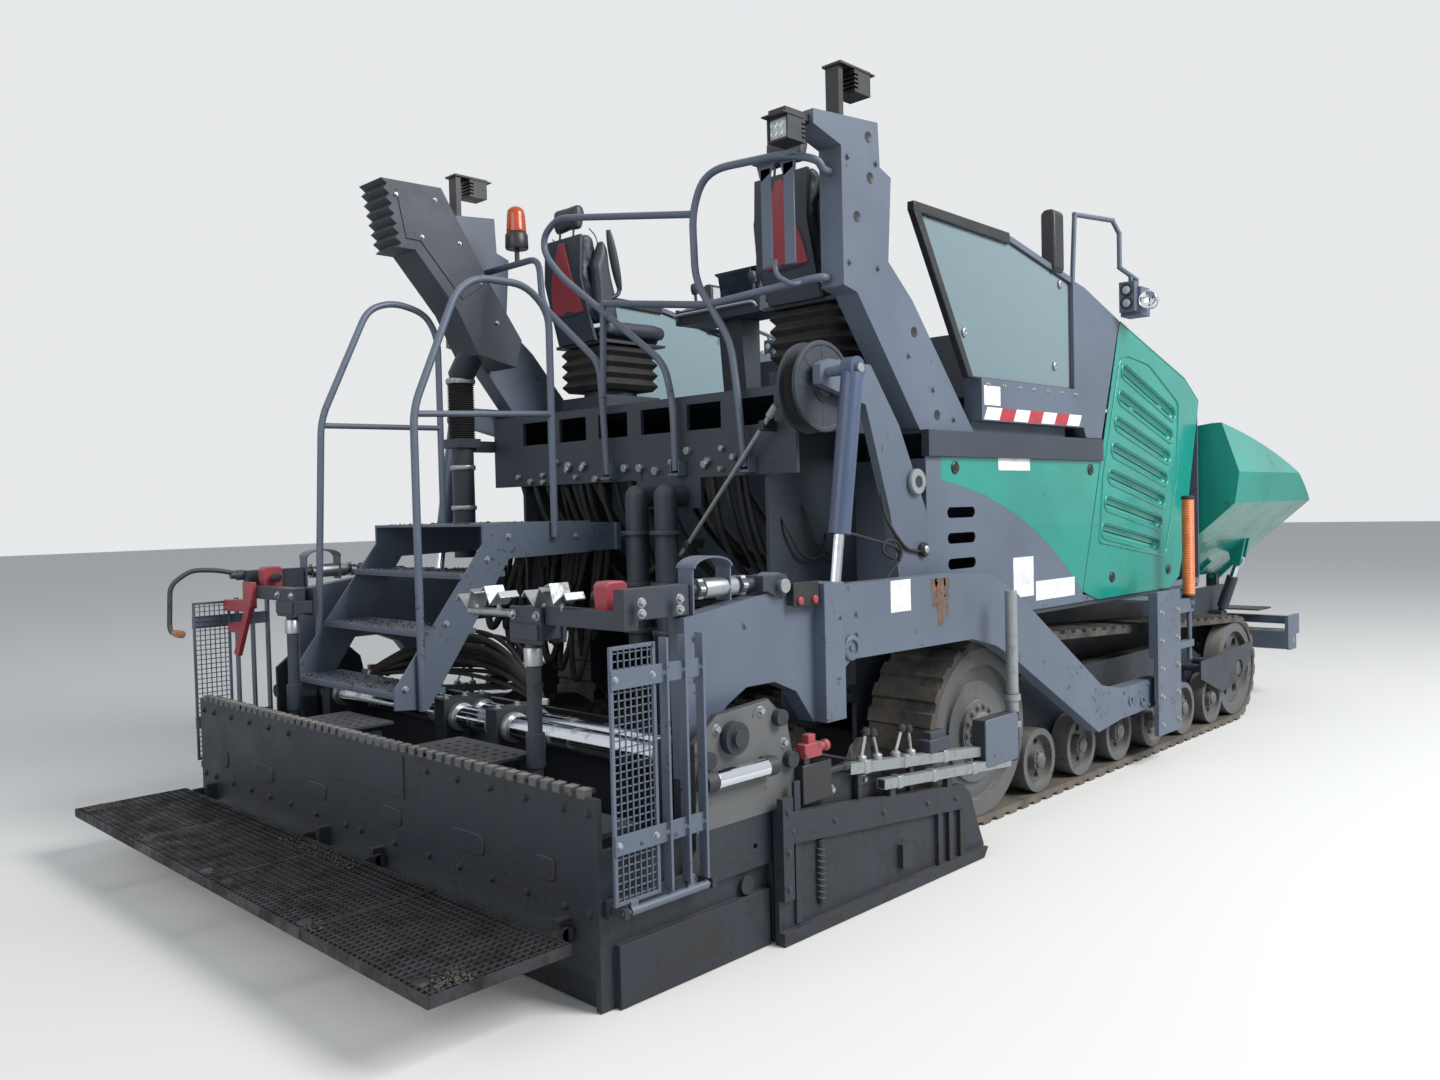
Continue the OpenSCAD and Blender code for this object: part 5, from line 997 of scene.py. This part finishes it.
# Operator's seats: foam pads in sewn black vinyl on a bellows suspension, with armrests folded up, a red
# panel behind the back and a steel swivel plate. Each pad is blown up from its cut shape as cloth under
# pressure, then piped along its seams.
seat_at = np.array([-420.0, 800.0, 2180.0])


def blown(name, outline, width, y_middle, cap_mm):
    """A pad: the side outline raised across the seat, remeshed to even quads and blown up as cloth without
    gravity. No point moves more than `cap_mm`."""
    middle = seat_at[1] + y_middle
    solid = slab(np.array(outline) + seat_at[[0, 2]], 1, middle - width / 2, middle + width / 2)
    mesh = bpy.data.meshes.new(name)
    mesh.from_pydata(solid[0].tolist(), [], solid[1])
    thing = bpy.data.objects.new(name, mesh)
    bpy.context.scene.collection.objects.link(thing)
    bpy.context.view_layer.objects.active = thing
    edge = thing.modifiers.new("edge", "BEVEL")
    edge.width = 0.016
    edge.segments = 3
    even = thing.modifiers.new("even", "REMESH")
    even.mode = "VOXEL"
    even.voxel_size = 0.009
    for modifier in ("edge", "even"):
        bpy.ops.object.modifier_apply(modifier=modifier)
    start = np.empty(len(thing.data.vertices) * 3)
    thing.data.vertices.foreach_get("co", start)
    cloth = thing.modifiers.new("air", "CLOTH")
    cloth.settings.use_pressure = True
    cloth.settings.uniform_pressure_force = 4.0
    cloth.settings.effector_weights.gravity = 0.0
    cloth.settings.quality = 4
    for frame_number in range(1, 16):
        bpy.context.scene.frame_set(frame_number)
    bpy.ops.object.modifier_apply(modifier="air")
    bpy.context.scene.frame_set(1)
    ended = np.empty_like(start)
    thing.data.vertices.foreach_get("co", ended)
    move = (ended - start).reshape(-1, 3)
    length = np.linalg.norm(move, axis=1)[:, None] + 1e-9
    move *= np.minimum(1.0, cap_mm / 1000 / length)
    thing.data.vertices.foreach_set("co", start + move.reshape(-1))
    soft = thing.modifiers.new("soft", "SMOOTH")
    soft.iterations = 4
    bpy.ops.object.modifier_apply(modifier="soft")
    thing.data.update()
    count = len(thing.data.vertices)
    ended = np.empty(count * 3)
    thing.data.vertices.foreach_get("co", ended)
    faces = [tuple(face.vertices) for face in thing.data.polygons]
    bpy.data.objects.remove(thing)
    return ended.reshape(-1, 3), faces


cushion = [(-215, 305), (215, 300), (255, 325), (252, 372), (215, 398), (100, 384), (-60, 366), (-200, 374),
           (-222, 350)]
back = [(-228, 385), (-150, 400), (-162, 560), (-190, 650), (-205, 790), (-228, 872), (-268, 890),
        (-300, 868), (-316, 650), (-276, 450)]
bolster = [(-205, 380), (-110, 400), (-122, 560), (-150, 660), (-178, 800), (-215, 850), (-280, 700),
           (-262, 460)]
head = [(-250, 935), (-232, 1000), (-246, 1040), (-274, 1050), (-300, 1036), (-306, 960), (-290, 915),
        (-262, 910)]
side_roll = [(-200, 330), (200, 325), (240, 350), (225, 400), (150, 412), (-190, 402)]
pads = [blown("cushion", cushion, 330, 0, 14), blown("back", back, 330, 0, 14),
        blown("head", head, 210, 0, 10)]
for sign in (-1, 1):
    pads.append(blown("roll", side_roll, 66, sign * 196, 9))
    pads.append(blown("bolster", bolster, 60, sign * 192, 9))


def on_seat(points):
    """Points given from the seat's own middle, in mm, moved to the left seat."""
    return np.asarray(points, dtype=float) + seat_at


piping = []
for sign in (-1, 1):
    seam = [(x, sign * 164, z)
            for x, z in ((-190, 388), (-60, 378), (100, 396), (210, 412), (252, 385), (262, 340))]
    piping.append(tube(on_seat(seam), 3.2, bend=30, sides=6))
    seam = [(x, sign * 164, z)
            for x, z in ((-146, 410), (-150, 560), (-178, 650), (-192, 790), (-216, 872), (-262, 904))]
    piping.append(tube(on_seat(seam), 3.2, bend=30, sides=6))
for x, z in ((20, 383), (-90, 376)):
    piping.append(tube(on_seat([(x, -158, z - 3), (x, 0, z + 3), (x, 158, z - 3)]), 2.4, bend=60, sides=6))
for x, z in ((-146, 520), (-172, 640), (-190, 760)):
    piping.append(tube(on_seat([(x, -158, z), (x + 4, 0, z), (x, 158, z)]), 2.4, bend=60, sides=6))
bellows_rows = []
for i in range(9):
    half = 210.0 if i % 2 else 186.0
    z = 36 + 30.5 * i
    corner = [(half, -half + 30), (half, half - 30), (half - 30, half), (-half + 30, half),
              (-half, half - 30), (-half, -half + 30), (-half + 30, -half), (half - 30, -half)]
    bellows_rows.append(on_seat([(x, y, z) for x, y in corner]))
bellows = rings(np.array(bellows_rows))
swivel_plate = [(2, 60), (2, 150), (12, 152), (34, 150), (38, 140), (38, 60)]
swivel_screws = on_seat([(dx, dy, 34) for dx in (-90, 90) for dy in (-90, 90)])
swivel = joined(lathe(swivel_plate, seat_at, skyward, sides=36), bolts(swivel_screws, skyward, across=16))
pan_outline = [(-215, 286), (235, 286), (245, 300), (-215, 304)]
pan = slab(np.array(pan_outline) + seat_at[[0, 2]], 1, seat_at[1] - 215, seat_at[1] + 215)
shell_outline = [(-240, 300), (-215, 300), (-262, 430), (-318, 640), (-302, 868), (-320, 868), (-330, 640),
                 (-276, 430)]
shell = slab(np.array(shell_outline) + seat_at[[0, 2]], 1, seat_at[1] - 158, seat_at[1] + 158)
posts = [tube(on_seat([(-292, y, 850), (-282, y, 960)]), 6, sides=8) for y in (-60, 60)]
arm_frames = []
arm_pads = []
arm_way = np.array([-0.225, 0.0, 0.974])
for sign in (-1, 1):
    frame_line = [(-240, sign * 196, 500), (-180, sign * 222, 520), (-118, sign * 238, 555),
                  (-124, sign * 238, 610)]
    arm_frames.append(tube(on_seat(frame_line), 12, bend=30))
    rows = []
    for s in np.linspace(0, 1, 11):
        swell = math.sin(math.pi * min(max(s, 0.03), 0.97)) ** 0.3
        turn = np.linspace(0, 2 * np.pi, 14, endpoint=False)
        middle = np.array([-116.0, sign * 240, 572]) + arm_way * 330 * s
        rows.append(middle + 27 * swell * np.cos(turn)[:, None] * [0, 1, 0]
                    + 23 * swell * np.sin(turn)[:, None] * [-arm_way[2], 0, arm_way[0]])
    arm_pads.append(rings(on_seat(np.array(rows))))
slider_line = [(180, 150, 300), (262, 150, 305), (270, 110, 312), (270, -110, 312), (262, -150, 305),
               (180, -150, 300)]
slider = tube(on_seat(slider_line), 7, bend=24, sides=8)
back_panel = []
for z, half, x in ((455, 128, -283), (520, 122, -300), (600, 104, -319), (680, 78, -331), (760, 50, -330),
                   (840, 20, -325)):
    back_panel.append(on_seat([(x - 7, -half, z), (x + 12, -half, z), (x + 12, half, z), (x - 7, half, z)]))
red_back = rings(np.array(back_panel))
for side, turned in (("left", joined), ("right", mirrored)):
    body = "seat_" + side
    pad = piece("seat_pads_" + side, body, seat_vinyl, turned(*pads), smooth=80)
    pad.modifiers.new("fine", "SUBSURF").render_levels = 1
    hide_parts(body)
    piece("seat_piping_" + side, body, seat_vinyl, turned(*piping))
    piece("seat_bellows_" + side, body, hose_rubber, turned(bellows), bevel=4)
    piece("seat_plates_" + side, body, charcoal_paint,
          turned(swivel, pan, shell, *posts, *arm_frames, slider))
    piece("seat_armrests_" + side, body, seat_vinyl, turned(*arm_pads))
    piece("seat_back_panel_" + side, body, red_paint, turned(red_back), bevel=3)


# Operator's console: a moulded desk on a steel column that slides across the machine, with a bright display
# under a hood, two joysticks in rubber boots, and rows of membrane keys and rotary switches.
screen_plastic = moulded_plastic("display_front", "#22303a", 0.12, grain_mm=5.0)
console_parts = []
dark_parts = []
boot = [(0, 38)] + [(6 + 7 * i, 34 - 2.4 * i + 3 * (i % 2)) for i in range(8)] + [(64, 10)]
stick_knob = [(118, 10), (122, 17), (136, 22), (160, 24), (178, 19), (184, 8), (185, 0.5)]
stick_way = (-10, 0, 100)
for y in (70, 530):
    dark_parts.append(lathe(boot, (34, y, 2672), stick_way, sides=24))
    dark_parts.append(lathe(stick_knob, (30, y, 2672), stick_way, sides=20))
switch = [(0, 15), (10, 14), (14, 12), (22, 10), (23, 0.5)]
desk_normal = (-70.0, 0.0, 185.0)
for i in range(5):
    dark_parts.append(lathe(switch, (70 - 0.4 * i, 190 + 55 * i, 2722), desk_normal, sides=18))
for i in range(9):
    for k in range(2):
        console_parts.append(box((-22 + 34 * k, 132 + 38 * i, 2689 + 13 * k),
                                 (-2 + 34 * k, 160 + 38 * i, 2699 + 13 * k)))
piece("console_keys", "console", lens_plastic, *console_parts, bevel=2)
piece("console_controls", "console", black_plastic, *dark_parts)
display = [(136, 2755), (143, 2755), (113, 2898), (106, 2898)]
piece("console_display", "console", screen_plastic, slab(display, 1, 170, 430), bevel=2)
piece("console_rail", "console", zinc_plate,
      tube([(-50, -12, 2640), (-75, -12, 2665), (-75, 612, 2665), (-50, 612, 2640)], 9, bend=30))
piece("console_bolts", "console", zinc_plate,
      bolts([(x, y, 2092) for x in (85, 235) for y in (175, 425)], skyward, across=16))


# Hose reel: a rubber cleaning hose wound on the steel drum, and a rigid steel spray lance stowed in clips on
# the rear rails below it.
def beam(start, end, width, depth, side=(0.0, 1.0, 0.0)):
    """A flat bar from one point to another in mm, `width` across along `side` and `depth` thick."""
    start, end = np.asarray(start, dtype=float), np.asarray(end, dtype=float)
    along = (end - start) / np.linalg.norm(end - start)
    across = np.asarray(side, dtype=float) - along * np.dot(side, along)
    across /= np.linalg.norm(across)
    other = np.cross(along, across)
    corners = [(-1, -1), (1, -1), (1, 1), (-1, 1)]
    grid = [[at + across * width / 2 * a + other * depth / 2 * b for a, b in corners] for at in (start, end)]
    return rings(np.array(grid))


winding = []
for turn_number in range(9):
    middle = -32 + 8 * turn_number
    winding += [(middle - 3.9, 152), (middle - 2.4, 162), (middle, 165), (middle + 2.4, 162)]
reel_middle = (-1000.0, -1190.0, 2030.0)
piece("reel_hose", "hose_reel", hose_rubber,
      lathe([(-35, 150)] + winding + [(35, 150)], reel_middle, outward, sides=48))
spokes = []
reel_flange = [(44, 20), (44, 186), (47, 190), (51, 186), (51, 172), (47, 168), (47, 20)]
reel_hub = [(44, 20.5), (44, 46), (56, 42), (58, 30), (58, 20.5)]
for sign in (-1, 1):
    for turn_angle in np.arange(0, 2 * np.pi, np.pi / 4):
        way = np.array([math.cos(turn_angle), 0, math.sin(turn_angle)])
        flange_middle = np.array(reel_middle) + [0, sign * 46, 0]
        spokes.append(beam(flange_middle + way * 40, flange_middle + way * 172, 5, 22))
    spokes.append(lathe(reel_flange, reel_middle, (0, sign, 0), sides=48))
    spokes.append(lathe(reel_hub, reel_middle, (0, sign, 0), sides=24))
piece("reel_spokes", "hose_reel", charcoal_paint, *spokes)
piece("reel_bearing", "hose_reel", black_plastic,
      lathe([(50, 43), (50, 66), (54, 64), (54, 43)], reel_middle, inward, sides=36))
lance_top, lance_end = np.array([-1072.0, -1036.0, 1965.0]), np.array([-1072.0, -428.0, 1320.0])
piece("spray_lance", "tractor", galvanised,
      tube([lance_top, lance_end, (-1078, -330, 1296), (-1080, -241, 1250)], 10, bend=60),
      lathe([(0, 10), (4, 17), (60, 17), (66, 10)], lance_top, lance_end - lance_top))
piece("spray_lance_grip", "tractor", black_plastic,
      tube([(-1078, -372, 1312), (-1079, -300, 1282), (-1080, -236, 1248)], 17, bend=30))
lance_clips = [box((-1088, y - 14, z - 22), (-979, y + 14, z + 22)) for y, z in ((-960, 1884), (-480, 1376))]
piece("spray_lance_clips", "tractor", black_plastic, *lance_clips, bevel=4)


# Rear bulkhead: between the deck and the screed, hydraulic hoses run from a valve block to the auger and slat
# drives, beside a ribbed air canister. All are fixed at both ends to the tractor.
def hose(start, end, drop, sway, radius):
    """A hose between two fittings: a parabola, midway `drop` mm below and `sway` mm aft of the chord."""
    start, end = np.asarray(start, dtype=float), np.asarray(end, dtype=float)
    t = np.linspace(0, 1, 26)[:, None]
    bow = 4 * t * (1 - t)
    return tube(start + (end - start) * t + bow * np.array([-sway, 0.0, -drop]), radius, sides=10)


deck_x, wall_x = -985, -425
routes = [(470, 1760, 300, 1100, 120, 110, 15), (400, 1720, 180, 1060, 180, 130, 12),
          (330, 1780, 60, 1130, 90, 90, 15), (250, 1700, -60, 1080, 200, 100, 12),
          (-560, 1760, -520, 1120, 150, 120, 15), (-640, 1720, -600, 1070, 110, 90, 12),
          (-720, 1770, -690, 1130, 170, 110, 14)]
hose_lines = [((deck_x, y0, z0), (wall_x, y1, z1), drop, sway, radius)
              for y0, z0, y1, z1, drop, sway, radius in routes]
hose_lines += [((deck_x, 560, 1800), (-430, 560, 1150), 140, 60, 17),
               ((deck_x, 680, 1740), (-430, 640, 1090), 90, 100, 12),
               ((wall_x, -820, 1180), (wall_x, -560, 1020), 120, 40, 10),
               ((wall_x, 420, 1180), (wall_x, 640, 1040), 100, 50, 10)]
hose_random = np.random.default_rng(5)
draw = hose_random.uniform
for y in np.linspace(260, 980, 17):
    span = draw(120, 330)
    hose_lines.append(((-900, y, 1470), (draw(-980, -860), y + span, draw(1150, 1330)), draw(420, 640),
                       draw(20, 120), draw(13, 22)))
for y in np.linspace(-760, 900, 16):
    hose_lines.append(((deck_x, y, draw(1700, 1830)), (wall_x, y + draw(-260, 200), draw(1040, 1320)),
                       draw(60, 260), draw(40, 150), draw(11, 21)))
piece("rear_hoses", "tractor", hose_rubber, *[hose(*line) for line in hose_lines])
fittings = []
for start, end, drop, sway, radius in hose_lines:
    if start[0] == deck_x:
        nut = [(0, 0.5), (0, radius + 7), (16, radius + 7), (18, radius + 3), (40, radius + 3), (44, radius)]
        fittings.append(lathe(nut, (deck_x + 6, start[1], start[2]), (-1, 0, -0.15), sides=6))
piece("hose_fittings", "tractor", zinc_plate, *fittings)
manifold = [box((-470, -140, 1010), (-418, 360, 1170)), box((-460, -760, 1030), (-418, -480, 1160)),
            box((-458, 500, 1060), (-418, 700, 1180))]
piece("valve_blocks", "tractor", charcoal_paint, *manifold, bevel=6)
solenoid = [(0, 24), (4, 26), (52, 26), (56, 20), (64, 20), (66, 12), (66, 0.5)]
solenoids = [lathe(solenoid, (-466, y, 1130), aft, sides=20) for y in (-90, -10, 90, 190, 290)]
piece("valve_solenoids", "tractor", black_plastic, *solenoids)
canister_ribs = [(8 + 12 * i + 6 * k, 100.0 + 8 * (k % 2)) for i in range(20) for k in (0, 1)]
piece("air_canister", "tractor", black_plastic,
      lathe([(0, 0.5), (0, 92), (6, 98)] + canister_ribs + [(252, 98), (262, 80), (268, 40), (268, 0.5)],
            (-560, 780, 1010), outward, sides=36))
piece("air_canister_strap", "tractor", zinc_plate,
      lathe([(0, 106), (0, 112), (26, 112), (26, 106)], (-560, 860, 1010), outward, sides=36),
      box((-520, 866, 905), (-419, 880, 930)))


# Right pocket: beside the lift cylinder, cables loop over the tower's foot below a galvanised lifting ring
# and a moulded socket with a zinc plated cap. A black disc in the lifting ring's bore is painted shade. The
# cylinders' upper pins end in a cap of the same kind.
pocket_cables = [[(-982, 1312, 1429), (-804, 1310, 1391), (-616, 1310, 1352), (-561, 1310, 1317),
                  (-640, 1310, 1257), (-690, 1310, 1215)],
                 [(-720, 1310, 1580), (-694, 1310, 1484), (-615, 1310, 1401), (-532, 1310, 1332),
                  (-420, 1310, 1322)],
                 [(-640, 1312, 1300), (-725, 1314, 1330), (-700, 1312, 1385), (-610, 1314, 1376),
                  (-575, 1312, 1325), (-600, 1314, 1290)],
                 [(-900, 896, 1500), (-890, 925, 1440), (-800, 930, 1310), (-690, 930, 1290),
                  (-600, 925, 1370), (-590, 896, 1420)],
                 [(-760, 896, 1560), (-750, 925, 1500), (-720, 925, 1380), (-640, 925, 1330),
                  (-560, 925, 1300), (-540, 896, 1260)]]
piece("pocket_cables", "tractor", hose_rubber,
      mirrored(*[tube(line, 7, bend=60, sides=8) for line in pocket_cables]))
ring_at, socket_at = (-452, side_face - 1, 1634), (-402, side_face - 1, 1329)
lifting_ring = [(0, 27), (0, 54), (5, 58), (21, 58), (26, 54), (26, 27)]
ring_bore_painted_shade = [(25, 0.5), (25, 27), (27, 27), (27, 0.5)]
socket = [(0, 0.5), (0, 32), (16, 34), (24, 28), (24, 0.5)]
socket_cap = [(20, 0.5), (20, 19), (30, 19), (34, 14), (34, 0.5)]
lift_pin_cap = [(0, 0.5), (0, 20), (5, 18), (5, 0.5)]
piece("pocket_lifting_ring", "tractor", galvanised, mirrored(lathe(lifting_ring, ring_at, outward, sides=36)))
# The socket's piece also holds a black disc in the lifting ring's bore, as painted shade.
piece("pocket_socket", "tractor", black_plastic, mirrored(lathe(socket, socket_at, outward, sides=28)),
      mirrored(lathe(ring_bore_painted_shade, ring_at, outward)))
piece("pocket_socket_cap", "tractor", zinc_plate, mirrored(lathe(socket_cap, socket_at, outward)),
      both(lathe(lift_pin_cap, (-1050, 1466, 2080), outward)))


# Screed hoses: arcs of wire-braided hydraulic hose stand over the guide tubes. Zinc plated ferrules screw
# both ends into the guide blocks, so they move with the screed and not with its extensions.
screed_lines = []
ferrules = []
for k in range(15):
    start, end = (-1762, draw(-285, -215), 716), (-1768, draw(1185, 1255), 716)
    radius = draw(10, 17)
    screed_lines.append((start, end, -40 - 15 * k, -draw(90, 290), radius))
    ferrule = [(0, 0.5), (0, radius + 5), (22, radius + 5), (28, radius + 2), (28, 0.5)]
    ferrules += [lathe(ferrule, tip, (0.2, 0, 1), sides=6) for tip in (start, end)]
piece("screed_hoses", "screed", hose_rubber, *[hose(*line) for line in screed_lines])
piece("screed_hose_ferrules", "screed", zinc_plate, *ferrules)


# Sensor clamps: inside the right levelling spindle, folded and zinc plated channels stand on a rod, to carry
# the arms of a levelling ski.
clamps = [tube([(-2292, 560, 1176), (-2292, 910, 1180)], 15, sides=12)]
channel = [(-44, 56), (0, 0), (44, 56), (62, 40), (64, 46), (43, 64), (0, 8), (-43, 64), (-64, 46), (-62, 40)]
for y, z, lean in ((600, 1190, 0.25), (745, 1205, -0.2), (1010, 1212, 0.15), (1120, 1222, -0.35)):
    cosine, sine = math.cos(lean), math.sin(lean)
    leaning = [(y + a * cosine - b * sine, z + a * sine + b * cosine) for a, b in channel]
    clamps.append(slab(leaning, 0, -2334, -2252))
    clamps.append(lathe([(0, 0.5), (0, 9), (30, 9), (30, 0.5)], (-2292, y, z - 22), skyward, sides=10))
piece("sensor_clamps", "screed", zinc_plate, mirrored(*clamps), bevel=1)


# Screed's left end: a bent hand crank with a brown grip, which sets the crown, and a red bracket whose two
# arms carry the spare sensor. Both are clamped to the screed's fittings.
brown_grip = moulded_plastic("brown_phenolic_grip", "#8a5a3a", 0.35)
crank = [tube([(-2296, 1452, 1262), (-2414, 1470, 1291), (-2534, 1490, 1298), (-2630, 1500, 1230),
               (-2640, 1500, 1005), (-2636, 1410, 1000)], 12, bend=44),
         lathe([(0, 9), (0, 26), (30, 26), (36, 18), (60, 18), (60, 9)], (-2299, 1452, 1262), aft)]
grip = lathe([(0, 12), (4, 17), (40, 19), (86, 18), (94, 12), (95, 0.5)], (-2637, 1440, 1002), inward,
             sides=20)
bracket_outline = [(1296, 1150), (1600, 1136), (1604, 1078), (1366, 1084), (1400, 1030), (1560, 1020),
                   (1560, 972), (1430, 976), (1500, 868), (1446, 858), (1290, 1110)]
piece("crown_crank", "screed", charcoal_paint, *crank)
piece("crown_crank_grip", "screed", brown_grip, grip)
piece("spare_sensor_bracket", "screed", red_paint, slab(bracket_outline, 0, -2316, -2340),
      box((-2326, 1296, 1100), (-2298, 1400, 1230)), bevel=4)


# Hopper: the wings are lined with wear plates, held by rows of zinc plated bolts that stand square to their
# slope. The push beam in front is screwed together from plates.
slope = np.array([0.0, 614.0, 540.0]) / np.linalg.norm([614.0, 540.0])
inner_normal = np.array([0.0, -slope[2], slope[1]])
wing_bolts = [np.array([x, 886.0, 950.0]) + slope * s + inner_normal * 8
              for x in range(2960, 4200, 200) for s in (90, 380, 670)]
piece("hopper_bolts_left", "hopper_left", zinc_plate, bolts(wing_bolts, inner_normal, across=20, height=7))
piece("hopper_bolts_right", "hopper_right", zinc_plate,
      mirrored(bolts(wing_bolts, inner_normal, across=20, height=7)))
beam_bolts = [(4609, y, 570) for y in (-1250, -900, -500, -100, 100, 500, 900, 1250)]
piece("push_beam_bolts", "push_beam", zinc_plate, bolts(beam_bolts, fore, across=24, height=8))
